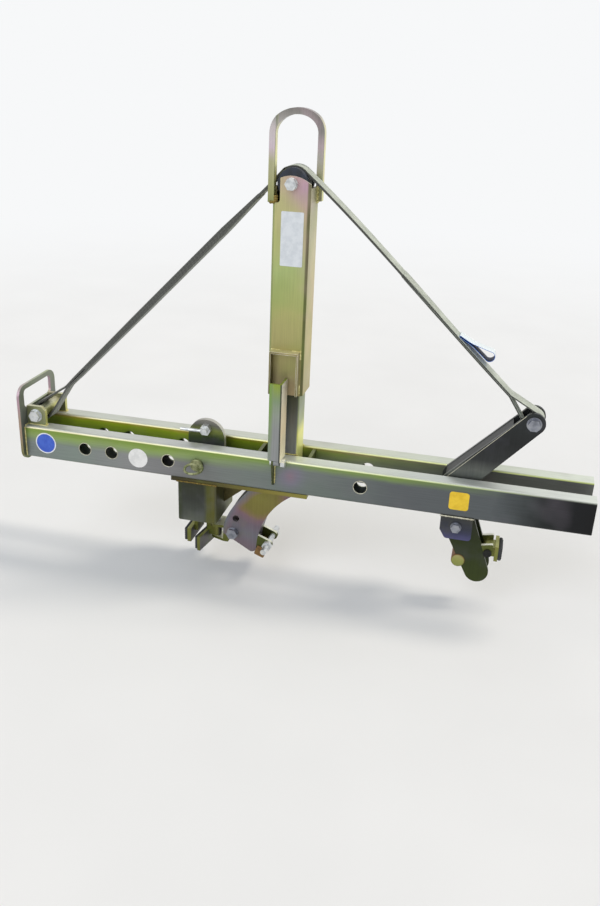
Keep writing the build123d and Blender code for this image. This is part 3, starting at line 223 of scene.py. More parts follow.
# Yellow-passivated steel: sheet and tube zinc plated, then dipped, so the film drifts from gold through
# green and pink to lilac grey, in clouds and bands, over drawn streaks and a satin gloss. grain is the axis
# of the streaks, cloud the size of the clouds and sway how far they push a layer, in millimetres; tints are
# blots of a colour, their size in millimetres and their most
steelLooks = {
    "mast": {
        "name": "mastPassivatedSteel", "grain": 2, "cloud": 110,
        "layers": [
            band(toTop, mastSpan, sway=110, stops=[(0.0, "#968d5c"), (0.2, "#a29a66"), (0.4, "#aaa96c"),
                 (0.58, "#a4b273"), (0.75, "#b0b274"), (0.9, "#c4b78a"), (1.0, "#c7ad98")]),
            # painted sunlight: the faces that look right are paler and creamier than the front
            band(toTop, mastSpan, sway=80, facing=toRight, alpha=0.95, stops=[(0.0, "#b4aa76"),
                 (0.35, "#cdbf8c"), (0.7, "#c6c292"), (1.0, "#b6b690")]),
            # pink border to the right, strongest at the top
            band(toRight, (14 * mm, 46 * mm), sway=16, facing=toFront, fade=(toTop, above(500), above(720)),
                 stops=[(0.0, "#bd9a92", 0.0), (1.0, "#b8909c", 0.75)]),
            pool((36 * mm, -50 * mm, above(738)), (0, 75 * mm), sway=16, facing=toFront,
                 stops=[(0.0, "#b48cab", 0.95), (0.4, "#bd94a8", 0.75), (1.0, "#c4ab8f", 0.0)]),
            # painted dark reflection: the rounded corners at the front are darker than the flats
            band(toTop, mastSpan, facing=toFrontRight, turn=(0.8, 0.95), alpha=0.9, stops=[(0.0, "#4c5426"),
                 (1.0, "#50522c")]),
            band(toTop, mastSpan, facing=toFrontLeft, turn=(0.8, 0.95), alpha=0.8, stops=[(0.0, "#87935a"),
                 (1.0, "#97a068")]),
            # painted highlight: pale on the rounded faces that look up round the ears
            band(toTop, mastSpan, facing=toTop, turn=(0.25, 0.7), fade=(toTop, above(735), above(745)),
                 alpha=0.95, stops=[(0.0, "#e6e4d4"), (1.0, "#ebe8da")]),
        ],
        "tints": [("#c79fa6", 130, 0.3), ("#7f9a4a", 150, 0.4)]},
    "bail": {
        "name": "bailPassivatedSteel", "grain": 2, "cloud": 60, "rough": 0.36,
        "layers": [
            band(toTop, bailSpan, sway=30, stops=[(0.0, "#868b56"), (0.2, "#a0a071"), (0.42, "#aaa984"),
                 (0.6, "#c2b2ba"), (0.78, "#beb9b6"), (1.0, "#7c7a75")]),
            band(toTop, bailSpan, sway=30, facing=toFront, fade=(toRight, 10 * mm, 40 * mm),
                 stops=[(0.25, "#a0a184", 0.3), (0.44, "#a3a496", 0.9), (0.6, "#a5999a", 0.9),
                 (0.76, "#72726c", 0.9), (1.0, "#5f5f58", 0.9)]),
            # painted sunlight: the faces that look right are bright yellow
            band(toTop, bailSpan, sway=30, facing=toRight, turn=(0.7, 0.95), stops=[(0.0, "#d4d27c", 0.95),
                 (0.5, "#eceaa6", 0.95), (1.0, "#cfcca0", 0.8)]),
            # painted shade: a dark line behind the front corner of each leg
            band(toBack, (-51 * mm, -45 * mm), facing=toRight, stops=[(0.0, "#5a6a34", 0.95),
                 (0.6, "#6d7a40", 0.9), (1.0, "#c9c661", 0.0)]),
            band(toBack, (27 * mm, 34 * mm), facing=toRight, fade=(toRight, 40 * mm, 50 * mm),
                 stops=[(0.0, "#4e5a40", 0.95), (0.6, "#5d6a44", 0.9), (1.0, "#c9c661", 0.0)]),
        ],
        "tints": [("#c4a2b2", 60, 0.3)]},
    "frontRail": {
        "name": "frontRailPassivatedSteel", "grain": 0, "cloud": 90,
        "layers": [
            band(toRight, railSpan, sway=100, stops=[(0.0, "#8d9168"), (0.5, "#83876c"), (1.0, "#6a6d66")]),
            # painted reflection: the front face darkens along the rail to near black at its right end
            band(toRight, railSpan, sway=90, facing=toFront, stops=[(0.0, "#7b8380"), (0.1, "#7f8a82"),
                 (0.2, "#8a8b8b"), (0.3, "#777777"), (0.42, "#737b76"), (0.55, "#6a736e"), (0.69, "#5c6062"),
                 (0.84, "#575c5e"), (0.92, "#222626"), (0.97, "#101215"), (1.0, "#0c0d0f")]),
            # green band under the top edge, deep to the left and thin to the right
            band(toTop, wallSpan, sway=16, facing=toFront, fade=(toRight, 60 * mm, -320 * mm),
                 stops=[(0.5, "#86955e", 0.0), (0.68, "#8aa162", 0.8), (0.84, "#94ab52"), (0.93, "#99a34a"),
                 (1.0, "#b2a260")]),
            band(toTop, wallSpan, sway=12, facing=toFront, fade=(toRight, 640 * mm, 330 * mm),
                 stops=[(0.72, "#778a5c", 0.0), (0.86, "#7a9448", 0.75), (0.95, "#7a923f", 0.95),
                 (1.0, "#a2a45c")]),
            pool((34 * mm, -90 * mm, above(-46)), (0, 60 * mm), sway=24, facing=toFront,
                 stops=[(0.0, "#8d7180", 0.85), (0.45, "#7d7488", 0.6), (1.0, "#727a80", 0.0)]),
            # painted highlight: pale rounded edge, darker to the right, and a pale top as a painted sky
            # reflection
            band(toRight, railSpan, facing=toFrontTop, turn=(0.8, 0.96), stops=[(0.0, "#d9cfa8"),
                 (0.5, "#d6d9a4"), (0.8, "#a3ae7a"), (0.92, "#6c7062"), (1.0, "#5c6056")]),
            band(toRight, railSpan, sway=60, facing=toTop, stops=[(0.0, "#c2c7be"), (0.3, "#c5c7c2"),
                 (0.55, "#d0d6c8"), (0.8, "#c9cdc8"), (1.0, "#d6dbd3")]),
        ],
        "tints": [("#8a7f8c", 120, 0.16)]},
    "rearRail": {
        "name": "rearRailPassivatedSteel", "grain": 0, "cloud": 90,
        "layers": [
            band(toRight, railSpan, sway=100, stops=[(0.0, "#828a84"), (0.3, "#7f8380"), (0.6, "#6e7672"),
                 (1.0, "#62676a")]),
            band(toRight, railSpan, sway=120, facing=toFront, stops=[(0.0, "#748526"), (0.38, "#768a3c"),
                 (0.6, "#858784"), (0.8, "#74766f"), (1.0, "#62645f")]),
            band(toTop, wallSpan, sway=10, facing=toFront, fade=(toRight, 560 * mm, -80 * mm),
                 stops=[(0.3, "#6f7664", 0.6), (0.6, "#7d9a2c", 0.4), (0.85, "#a3ba24", 0.9),
                 (0.95, "#c2b04a"), (1.0, "#e0cda2")]),
            band(toTop, wallSpan, sway=14, facing=toBack, stops=[(0.5, "#7e8f70", 0.0),
                 (0.72, "#7e966b", 0.75), (0.9, "#8fa445", 0.95), (1.0, "#a39a45")]),
            # painted highlight: pale rounded edge and a pale top as a painted sky reflection
            band(toRight, railSpan, facing=toFrontTop, turn=(0.8, 0.96), stops=[(0.0, "#d9cfa8"),
                 (0.5, "#d8da9c"), (1.0, "#a6b455")]),
            band(toRight, railSpan, sway=60, facing=toTop, stops=[(0.0, "#c4c8be"), (0.5, "#c8ccbf"),
                 (0.75, "#c9cfc0"), (1.0, "#d6dccf")]),
        ],
        "tints": [("#8a7f8c", 120, 0.25)]},
    "post": {
        "name": "postPassivatedSteel", "grain": 2, "cloud": 80,
        "layers": [
            # painted shadow: darker towards the top, in the shade of the prop and the mast
            band(toTop, (above(-100), above(183)), sway=30, stops=[(0.0, "#6f7450"), (0.36, "#707272"),
                 (0.6, "#666864"), (0.8, "#4c4e46"), (1.0, "#32361f")]),
            # painted sunlight: the right face bright yellow at its foot, duller higher up
            band(toTop, (above(0), above(183)), sway=22, facing=toRight, stops=[(0.0, "#f0f3a0"),
                 (0.32, "#ebea84"), (0.5, "#a6b07a"), (0.75, "#8a9476"), (1.0, "#7a865a")]),
        ]},
    "prop": {
        "name": "propPassivatedSteel", "grain": 2, "cloud": 60, "metal": 0.35,
        "layers": [
            band(toTop, propSpan, sway=30, stops=[(0.0, "#8b8d8d"), (0.45, "#8c8e8d"), (0.64, "#8e9588"),
                 (0.8, "#7f916f"), (1.0, "#8a9c3a")]),
            band(toRight, propWide, sway=6, facing=toFront, fade=(toTop, above(-20), above(150)),
                 stops=[(0.0, "#6f9440", 0.9), (0.22, "#7b9656", 0.7), (0.4, "#86907c", 0.0)]),
            # painted shadow: a dark line along the right edge of the front face, where the fold shades it
            band(toRight, propWide, sway=1, facing=toFront, stops=[(0.84, "#4a4d40", 0.0),
                 (0.9, "#33362a", 0.85), (1.0, "#2e3126", 0.9)]),
            # painted sunlight: the right face near white
            band(toTop, propSpan, sway=30, facing=toRight, stops=[(0.0, "#fdfbdc"), (0.4, "#fbe8c2"),
                 (0.7, "#f2e4c2"), (1.0, "#e4e3d6")]),
        ]},
    "endPlate": {
        "name": "endPlatePassivatedSteel", "grain": 2, "cloud": 40,
        "layers": [
            band(toTop, endSpan, sway=40, stops=[(0.0, "#6c7248"), (0.3, "#81876c"), (0.6, "#8c9282"),
                 (1.0, "#9aa090")]),
            band(toTop, endSpan, sway=40, facing=toRight, stops=[(0.0, "#6a7050"), (0.45, "#63676a"),
                 (0.7, "#747a70"), (1.0, "#828878")]),
            band(toTop, endSpan, sway=30, facing=toFront, turn=(0.3, 0.8), alpha=0.9, stops=[(0.0, "#6f7440"),
                 (0.5, "#a88d7c"), (0.8, "#b493a0"), (1.0, "#a08f98")]),
            band(toBack, (-0.1, 0.1), sway=40, facing=toTop, alpha=0.9, stops=[(0.0, "#b3a3a4"),
                 (0.5, "#a7ad98"), (1.0, "#a9b284")]),
        ],
        "tints": [("#6f8a3c", 60, 0.35)]},
    "plate": {
        "name": "platePassivatedSteel", "grain": 2, "cloud": 50,
        "layers": [
            band(toTop, lugSpan, sway=50, stops=[(0.0, "#6d6f38"), (0.5, "#868a66"), (1.0, "#9a9a70")]),
            # painted sunlight: the faces that look right are bright yellow and the tops pale
            band(toTop, lugSpan, sway=30, facing=toRight, alpha=0.9, stops=[(0.0, "#9fa04e"),
                 (0.5, "#d2d084"), (1.0, "#dedb96")]),
            band(toTop, lugSpan, sway=40, facing=toTop, alpha=0.85, stops=[(0.0, "#c9c8a4"),
                 (1.0, "#d0cfb4")]),
        ],
        "tints": [("#b59a94", 70, 0.3), ("#6f8a3c", 90, 0.35)]},
    "spacer": {
        "name": "spacerPassivatedSteel", "grain": 1, "cloud": 30,
        "layers": [
            band(toTop, wallSpan, sway=30, stops=[(0.0, "#2f3519"), (0.6, "#3d441f"), (1.0, "#4a5228")]),
            band(toTop, wallSpan, sway=10, facing=toTop, alpha=0.9, stops=[(0.0, "#565c34"),
                 (1.0, "#6a7042")]),
        ],
        "tints": [("#5d5a4c", 40, 0.4)]},
    "pocket": {
        "name": "pocketPassivatedSteel", "grain": 2, "cloud": 40,
        "layers": [
            # painted shadow: darker at the left edge, where the frame's bar shades it
            band(toRight, pocketWide, sway=20, stops=[(0.0, "#6d6741"), (0.4, "#827a4c"), (0.75, "#a89c68"),
                 (1.0, "#8c8454")]),
            # painted shade: the front darker towards the pocket's foot
            band(toTop, (above(190), above(311)), sway=20, facing=toFront, stops=[(0.0, "#5a5424", 0.7),
                 (0.5, "#8e8350", 0.3), (1.0, "#a99c68", 0.2)]),
            # painted highlight: pale tops
            band(toRight, pocketWide, facing=toTop, alpha=0.9, stops=[(0.0, "#d3cda0"), (1.0, "#ddd6ac")]),
        ],
        "tints": [("#b58f88", 50, 0.25)]},
    "box": {
        "name": "boxPassivatedSteel", "grain": 2, "cloud": 50,
        "layers": [
            # painted shade: the box dark all over and darkest at the top, under the carriage plate
            band(toTop, boxSpan, sway=30, stops=[(0.0, "#5c6056"), (0.3, "#42463f"), (0.6, "#343731"),
                 (1.0, "#2f3322")]),
            # olive borders where the walls meet
            band(toRight, boxWide, sway=10, facing=toFront, stops=[(0.0, "#353d18", 0.95),
                 (0.1, "#333a22", 0.6), (0.2, "#3c3f3c", 0.0), (0.66, "#44463a", 0.0),
                 (0.78, "#54561f", 0.85), (1.0, "#5c591f", 0.95)]),
            band(toTop, boxSpan, sway=30, facing=toRight, alpha=0.95, stops=[(0.0, "#6c7048"),
                 (0.5, "#606344"), (1.0, "#5f5c2c")]),
        ],
        "tints": [("#6b6a72", 60, 0.25)]},
    "web": {
        "name": "webPassivatedSteel", "grain": 0, "cloud": 30,
        "layers": [
            band(toTop, webSpan, sway=16, stops=[(0.0, "#54585a"), (0.3, "#4e5e38"), (0.55, "#747d3a"),
                 (0.8, "#66675c"), (1.0, "#88857c")]),
            # painted highlight: pale on the faces that look up and to the right
            band(toTop, webSpan, facing=(0.6, 0, 0.8), turn=(0.3, 0.8), alpha=0.9, stops=[(0.0, "#e4e6d6"),
                 (1.0, "#b9b7ae")]),
        ],
        "tints": [("#6f6a76", 30, 0.5)]},
    "bed": {
        "name": "bedPassivatedSteel", "grain": 0, "cloud": 60,
        "layers": [
            band(toRight, bedSpan, sway=40, stops=[(0.0, "#3b3620"), (0.4, "#57502a"), (0.7, "#7d7434"),
                 (1.0, "#8d8440")]),
            band(toRight, bedSpan, facing=toTop, alpha=0.9, stops=[(0.0, "#8c8c6c"), (1.0, "#a09f7e")]),
        ],
        "tints": [("#6f7a34", 50, 0.35)]},
    "arm": {
        "name": "armPassivatedSteel", "grain": 2, "cloud": 45,
        "layers": [
            pool((-70 * mm, -36 * mm, above(-150)), (0, 210 * mm), sway=34, stops=[(0.0, "#7f7a3a"),
                 (0.26, "#787038"), (0.34, "#806c50"), (0.4, "#7d646c"), (0.5, "#70646e"), (0.66, "#706e76"),
                 (0.82, "#776a72"), (1.0, "#76706c")]),
            # lilac border on the outer curve
            pool((62 * mm, -36 * mm, above(-330)), (226 * mm, 264 * mm), sway=12, facing=toFront,
                 stops=[(0.0, "#8a6d74", 0.0), (0.3, "#80707c", 0.6), (0.6, "#73767e", 0.9),
                 (1.0, "#707379", 0.95)]),
        ],
        "tints": [("#7a7648", 45, 0.25)]},
    "shelf": {
        "name": "shelfPassivatedSteel", "grain": 1, "cloud": 30,
        "layers": [
            band(toTop, armSpan, sway=50, stops=[(0.0, "#5c6026"), (0.5, "#6e7030"), (1.0, "#7e7c3a")]),
            # painted sunlight: the shelf's top near white cream
            band(toRight, (-230 * mm, -170 * mm), sway=20, facing=toTop, turn=(0.3, 0.7), alpha=0.95,
                 stops=[(0.0, "#dfe4b4"), (0.5, "#f0f1d2"), (1.0, "#e6e6bc")]),
        ],
        "tints": [("#a79a86", 40, 0.3)]},
    "padBar": {
        "name": "padBarPassivatedSteel", "grain": 1, "cloud": 30,
        "layers": [
            band(toTop, armSpan, sway=60, stops=[(0.0, "#6a6a30"), (0.5, "#7c7c3c"), (1.0, "#8e8c48")]),
            # painted light: paler tops
            band(toTop, armSpan, facing=toTop, turn=(0.4, 0.8), alpha=0.9, stops=[(0.0, "#a9aa60"),
                 (1.0, "#b4b26c")]),
            # painted shade: the faces that look right are dark grey
            band(toTop, armSpan, sway=30, facing=toRight, turn=(0.4, 0.8), alpha=0.9, stops=[(0.0, "#56545a"),
                 (0.2, "#5f5d60"), (1.0, "#66645e")]),
        ],
        "tints": [("#6c7f2e", 35, 0.4)]},
    "ears": {
        "name": "earPassivatedSteel", "grain": 0, "cloud": 26,
        "layers": [
            band(toTop, armSpan, sway=60, stops=[(0.0, "#474e1e"), (0.5, "#535a24"), (1.0, "#62662e")]),
            # painted sunlight: the ears' tops near white
            band(toTop, armSpan, facing=toTop, turn=(0.35, 0.75), alpha=0.95, stops=[(0.0, "#eff0dc"),
                 (1.0, "#f4f4e4")]),
        ],
        "tints": [("#7c7a4a", 30, 0.35)]},
    "lever": {
        "name": "leverPassivatedSteel", "grain": 2, "cloud": 70, "rough": 0.4,
        "layers": [
            # painted shade: dark grey and olive all over, with a lighter painted reflection in a band near
            # the rails
            band(toTop, (above(-324), above(208)), sway=24, stops=[(0.0, "#343f14"), (0.25, "#2a3314"),
                 (0.36, "#2f3326"), (0.58, "#4a4f4a"), (0.65, "#5e615c"), (0.72, "#303232"),
                 (0.82, "#212323"), (1.0, "#2b2f2f")]),
            # painted highlight along the upper arm's top edge
            band(toTop, (above(-26), above(208)), facing=(-0.73, 0, 0.68), turn=(0.7, 0.95), alpha=0.9,
                 stops=[(0.0, "#52544f"), (0.5, "#484a46"), (1.0, "#3a3c39")]),
        ],
        "tints": [("#4a4a52", 60, 0.3)]},
    "bracket": {
        "name": "bracketPassivatedSteel", "grain": 0, "cloud": 40,
        "layers": [
            band(toTop, bracketSpan, sway=16, stops=[(0.0, "#4c4b70"), (0.25, "#3d3f5a"), (0.5, "#353844"),
                 (1.0, "#3a3b38")]),
        ],
        "tints": [("#5c5a40", 40, 0.3)]},
    # Cast rubber buffer: brown and dull, with a bright steel washer vulcanised on each end
    "jawBuffer": {
        "name": "castBufferRubber", "grain": 1, "cloud": 18, "rough": 0.6, "metal": 0.1,
        "layers": [
            band(toTop, bufferSpan, sway=20, stops=[(0.0, "#4e3018"), (0.5, "#6a421f"), (1.0, "#7a5028")]),
            band(toTop, bufferSpan, sway=14, facing=toFront, stops=[(0.0, "#7c8048"), (0.5, "#8b8f44"),
                 (1.0, "#a29a62")]),
        ]},
}

finishes = {name: layeredFinish(look) for name, look in steelLooks.items()}
print("layered finishes made:", len(finishes))


# Plated, moulded, cast or turned stuff: a base colour with a soft mottle, its own gloss and, where the stuff
# has one, a fine grit
def mottledFinish(look):
    material, tree, shader = newMaterial(look["name"])
    spot = addNode(tree, "ShaderNodeTexCoord")
    mottle = addNode(tree, "ShaderNodeTexNoise", {
        "Vector": spot.outputs["Object"], "Scale": 1 / (look["size"] * mm),
        "Detail": look.get("detail", 4.0)})
    ramp = addNode(tree, "ShaderNodeValToRGB", {0: mottle.outputs[0]}, stops=list(
        zip(look.get("places", (0.3, 0.7)), look["tones"])))
    rough, uneven = look["rough"], look.get("uneven", 0.1)
    if uneven:
        rough = addNode(tree, "ShaderNodeMapRange", {
            "Value": mottle.outputs[0], "To Min": rough - uneven, "To Max": rough + uneven}).outputs[0]
    setInputs(shader, {
        "Base Color": ramp.outputs[0], "Roughness": rough, "Metallic": look.get("metal", 0.0)})
    if "grit" in look:
        grit = addNode(tree, "ShaderNodeTexNoise", {
            "Vector": spot.outputs["Object"], "Scale": 1 / (look["grit"] * mm), "Detail": 2.0})
        bump = addNode(tree, "ShaderNodeBump", {
            "Strength": 0.25, "Distance": 0.4 * mm, "Height": grit.outputs[0]})
        setInputs(shader, {"Normal": bump.outputs[0]})
    return material


# size of the mottle and of the grit in millimetres
zincPlate = {"places": (0.3, 0.52, 0.75), "size": 14, "detail": 2.0, "rough": 0.32, "uneven": 0.08,
             "metal": 0.8}
mottleLooks = {
    # electroplated zinc on bolts, nuts and pins: blue-white with soft crystals
    "zinc": dict(zincPlate, name="brightZincPlate", tones=("#b4b7b8", "#d2d5d6", "#e0dfd6")),
    # the same plate, darker: painted shade on the bolts under the beam and at the lever
    "shadedZinc": dict(zincPlate, name="zincPlateInShade", tones=("#74777f", "#8f929b", "#a3a5a8")),
    # cast nylon: near black with a blue cast, polished by the strap
    "roller": {"name": "castNylonRoller", "tones": ("#0f1621", "#1f2a3c"), "size": 18, "grit": 1.5,
               "rough": 0.42},
    # pressed plastic: flat charcoal
    "guide": {"name": "pressedGuidePlastic", "tones": ("#1d1e1f", "#2c2d2e"), "size": 20, "grit": 2,
              "rough": 0.5},
    # sintered bronze: brown gold, finely pitted
    "bronze": {"name": "sinteredBronze", "tones": ("#7d5f33", "#a98548"), "size": 8, "grit": 1,
               "rough": 0.4, "metal": 0.9},
    # steel blackened in oil: dark with a thin shine; on the lever's web this dark is painted shade
    "blackSteelAndShade": {"name": "oilBlackSteelAndShade", "tones": ("#161715", "#2a2b28"), "size": 8, "grit": 1,
                   "rough": 0.45, "metal": 0.6},
    # turned steel, zinc plated and dipped yellow: olive with pale worn places
    "drawPin": {"name": "yellowZincPin", "tones": ("#4a5228", "#b4b78c"), "size": 13, "grit": 1,
                "rough": 0.38, "metal": 0.6},
    # moulded rubber: dark grey and dull
    "padRubber": {"name": "mouldedPadRubber", "tones": ("#26282a", "#3a3c3d"), "size": 12, "grit": 1.2,
                  "rough": 0.75},
    # cast block rubber: amber brown, half dull
    "bufferRubber": {"name": "castBlockRubber", "tones": ("#5f4420", "#86642e"), "size": 14, "grit": 1.2,
                     "rough": 0.6},
    # weld under the yellow plating: pale gold and rippled
    "weld": {"name": "platedWeldBead", "tones": ("#a79a52", "#e2dca0"), "size": 9, "grit": 1.5,
             "rough": 0.35, "metal": 0.5},
    # weld painted brown gold: painted shade where the bail and the carriage box shade it
    "shadedWeld": {"name": "weldBeadInShade", "tones": ("#5d4a1c", "#96803a"), "size": 6, "grit": 1.5,
                 "rough": 0.35, "metal": 0.5},
    # pale: a painted highlight on lit edges and hole walls, and the pale weld on the brackets
    "rim": {"name": "paleWeldAndEdgeHighlight", "tones": ("#b4b09a", "#dedac6"), "size": 12, "grit": 1,
            "rough": 0.35, "metal": 0.5},
    # bonded polyester thread: pale, slightly fuzzy
    "thread": {"name": "polyesterThread", "tones": ("#84887e", "#a9ada2"), "size": 10, "grit": 1,
               "rough": 0.8},
}
finishes.update({name: mottledFinish(look) for name, look in mottleLooks.items()})
print("mottled finishes made:", len(mottleLooks))

nodeFinish = {
    "mast": ["mast_tube"],
    "bail": ["lifting_bail"],
    "frontRail": ["front_rail"],
    "rearRail": ["rear_rail"],
    "post": ["inner_post"],
    "prop": ["prop_strut"],
    "endPlate": ["end_plate"],
    "plate": ["anchor_lugs", "anchor_sleeve"],
    "spacer": ["beam_spacers", "prop_lug"],
    "pocket": ["latch_pocket"],
    "box": ["carriage_box"],
    "web": ["carriage_web"],
    "bed": ["carriage_plate", "carriage_gusset"],
    "arm": ["grip_arm", "arm_web_strip"],
    "shelf": ["arm_shelf", "foot_hanger"],
    "padBar": ["foot_bar", "arm_pad_bar", "jaw_pad_bar"],
    "ears": ["stop_ears", "jaw_ears"],
    "lever": ["lever_front_plate", "lever_rear_plate", "lever_sleeve"],
    "bracket": ["pivot_brackets", "pivot_spacers"],
    "zinc": ["roller_axle_bolt", "roller_axle_nut", "anchor_bolt", "frame_nuts", "lever_nut",
             "prop_pin", "stop_rod", "carriage_screw", "arm_pad_pin"],
    "shadedZinc": ["arm_bolt", "pivot_bolt", "lever_bolt"],
    "drawPin": ["lock_pin"],
    # the lever's web wears the black finish as painted shade
    "blackSteelAndShade": ["jaw_pad_pin", "lever_web"],
    "bronze": ["roller_bush", "pivot_bush"],
    "guide": ["mast_guide_bush", "post_guide_shoe"],
    "roller": ["strap_roller"],
    "padRubber": ["foot_rubber", "arm_pad_rubber", "jaw_pad_rubber"],
    "jawBuffer": ["jaw_buffer"],
    "bufferRubber": ["stop_buffer"],
}
for finish, names in nodeFinish.items():
    for name in names:
        slots = nodes[name].data.materials
        slots.clear()
        slots.append(finishes[finish])
print("frame nodes dressed")


# threads of the strap are drawn 3 mm apart, about twice the real spacing, so that they show
waveTurn = 6.283
weaveFacts = {"rows": 3 * mm, "ribs": 5 * mm, "grime": 45 * mm, "rise": 0.8 * mm, "rough": 0.85, "sheen": 0.2}
# the tag's inner colour is painted shade inside the loop
tagLook = {"name": "wovenLabelTape", "inner": "#1c2a4c", "edge": "#4377cc", "thread": 2 * mm, "rough": 0.6,
           "outer": [(0.0, "#2f66c0"), (0.4, "#5d8ad0"), (0.62, "#d9e6ea"), (1.0, "#e2ebee")]}


# Polyester webbing: flat woven tape with ribs along it and a fine chevron across, dull, its side edges
# painted dark as shade
def webbing(look):
    material, tree, shader = newMaterial(look["name"])
    spot = addNode(tree, "ShaderNodeUVMap", uv_map="cloth")
    rows = addNode(tree, "ShaderNodeTexWave", {
        "Vector": spot.outputs[0], "Scale": 1 / weaveFacts["rows"] / waveTurn, "Distortion": 0.0},
        wave_type="BANDS", bands_direction="DIAGONAL")
    ribs = addNode(tree, "ShaderNodeTexWave", {
        "Vector": spot.outputs[0], "Scale": 1 / weaveFacts["ribs"] / waveTurn, "Distortion": 0.4},
        wave_type="BANDS", bands_direction="Y")
    weave = addNode(tree, "ShaderNodeMath", {
        0: rows.outputs["Fac"], 1: ribs.outputs["Fac"]}, operation="ADD")
    grime = addNode(tree, "ShaderNodeTexNoise", {
        "Vector": spot.outputs[0], "Scale": 1 / weaveFacts["grime"], "Detail": 4.0})
    ramp = addNode(tree, "ShaderNodeValToRGB", {0: grime.outputs[0]}, stops=list(
        zip((0.3, 0.55, 0.75), look["tones"])))
    # painted shade: the tape's side edges take the look's dark edge colour
    side = addNode(tree, "ShaderNodeSeparateXYZ", {0: addNode(tree, "ShaderNodeTexCoord").outputs["Normal"]})
    steep = addNode(tree, "ShaderNodeMath", {0: side.outputs[1]}, operation="ABSOLUTE")
    edge = addNode(tree, "ShaderNodeMapRange", {"Value": steep.outputs[0], "From Min": 0.5, "From Max": 0.85})
    faced = addNode(tree, "ShaderNodeMix", {0: edge.outputs[0], 6: ramp.outputs[0], 7: linear(look["edge"])},
                    data_type="RGBA")
    shade = addNode(tree, "ShaderNodeMapRange", {
        "Value": weave.outputs[0], "From Max": 2.0, "To Min": 0.74, "To Max": 1.12})
    toned = addNode(tree, "ShaderNodeHueSaturation", {"Color": faced.outputs[2], "Value": shade.outputs[0]})
    bump = addNode(tree, "ShaderNodeBump", {
        "Strength": 0.5, "Distance": weaveFacts["rise"], "Height": weave.outputs[0]})
    setInputs(shader, {
        "Base Color": toned.outputs[0], "Normal": bump.outputs[0], "Roughness": weaveFacts["rough"],
        "Sheen Weight": weaveFacts["sheen"]})
    return material


# Woven label tape: white where it looks up, blue where it looks down and dark blue inside the loop, that dark
# blue being painted shade
def labelTape(look):
    material, tree, shader = newMaterial(look["name"])
    spot = addNode(tree, "ShaderNodeTexCoord")
    high = addNode(tree, "ShaderNodeSeparateXYZ", {0: spot.outputs["Normal"]})
    turned = addNode(tree, "ShaderNodeMapRange", {
        "Value": high.outputs[2], "From Min": -0.5, "From Max": 0.5})
    outer = addNode(tree, "ShaderNodeValToRGB", {0: turned.outputs[0]}, stops=look["outer"])
    # the second part of the map runs round the tape, so its far half is the inside of the loop, painted dark
    # as shade
    around = addNode(tree, "ShaderNodeSeparateXYZ", {
        0: addNode(tree, "ShaderNodeUVMap", uv_map="cloth").outputs[0]})
    inside = addNode(tree, "ShaderNodeMath", {0: around.outputs[1], 1: strapFacts["tagWidth"]},
                     operation="GREATER_THAN")
    both = addNode(tree, "ShaderNodeMix", {
        0: inside.outputs[0], 6: outer.outputs[0], 7: linear(look["inner"])}, data_type="RGBA")
    steep = addNode(tree, "ShaderNodeMath", {0: high.outputs[1]}, operation="ABSOLUTE")
    edge = addNode(tree, "ShaderNodeMapRange", {"Value": steep.outputs[0], "From Min": 0.5, "From Max": 0.8})
    bound = addNode(tree, "ShaderNodeMix", {
        0: edge.outputs[0], 6: both.outputs[2], 7: linear(look["edge"])}, data_type="RGBA")
    thread = addNode(tree, "ShaderNodeTexWave", {
        "Vector": spot.outputs["Object"], "Scale": 1 / look["thread"] / waveTurn}, bands_direction="X")
    shade = addNode(tree, "ShaderNodeMapRange", {
        "Value": thread.outputs["Fac"], "To Min": 0.9, "To Max": 1.04})
    toned = addNode(tree, "ShaderNodeHueSaturation", {"Color": bound.outputs[2], "Value": shade.outputs[0]})
    setInputs(shader, {"Base Color": toned.outputs[0], "Roughness": look["rough"]})
    return material


# The strap goes from the pin on the end plate over the roller to the pin on the lever; each end is a
# folded tape sewn over the thin end of the run, so that the two can shift
strapFacts = {
    "width": 50 * mm, "ply": 6.6 * mm, "mid": 40.8 * mm, "edge": 1.4 * mm, "slack": 0.15 * mm,
    "bowSpan": 700 * mm, "bowPeak": 27 / 4, "runStep": 20 * mm, "arcSteps": 20,
    "eyeBore": 23 * mm, "eyeThin": 0.7 * mm, "eyeTaper": 140 * mm, "eyeSteps": 28, "legStep": 30 * mm,
    "sewnStep": 15 * mm, "closeOver": 28 * mm, "closeStep": 7 * mm, "closeGap": 0.1 * mm,
    "lapGap": math.radians(8.5), "lapOver": math.radians(9), "lapPly": 1.4 * mm,
    "lapShares": (0.0, 0.15, 0.3, 0.45, 0.6, 0.75, 0.92), "lapTip": 0.15, "lapFull": 0.45, "lapFade": 40 * mm,
    "tagWidth": 40 * mm, "tagPly": 1.4 * mm, "tagEdge": 0.5 * mm, "tagNeck": 0.35, "tagSwell": 1.2,
    "tagRoot": (582 * mm, 7.0 * mm, 2.8 * mm), "tagEnd": (672 * mm, 29 * mm, 14.5 * mm),
}
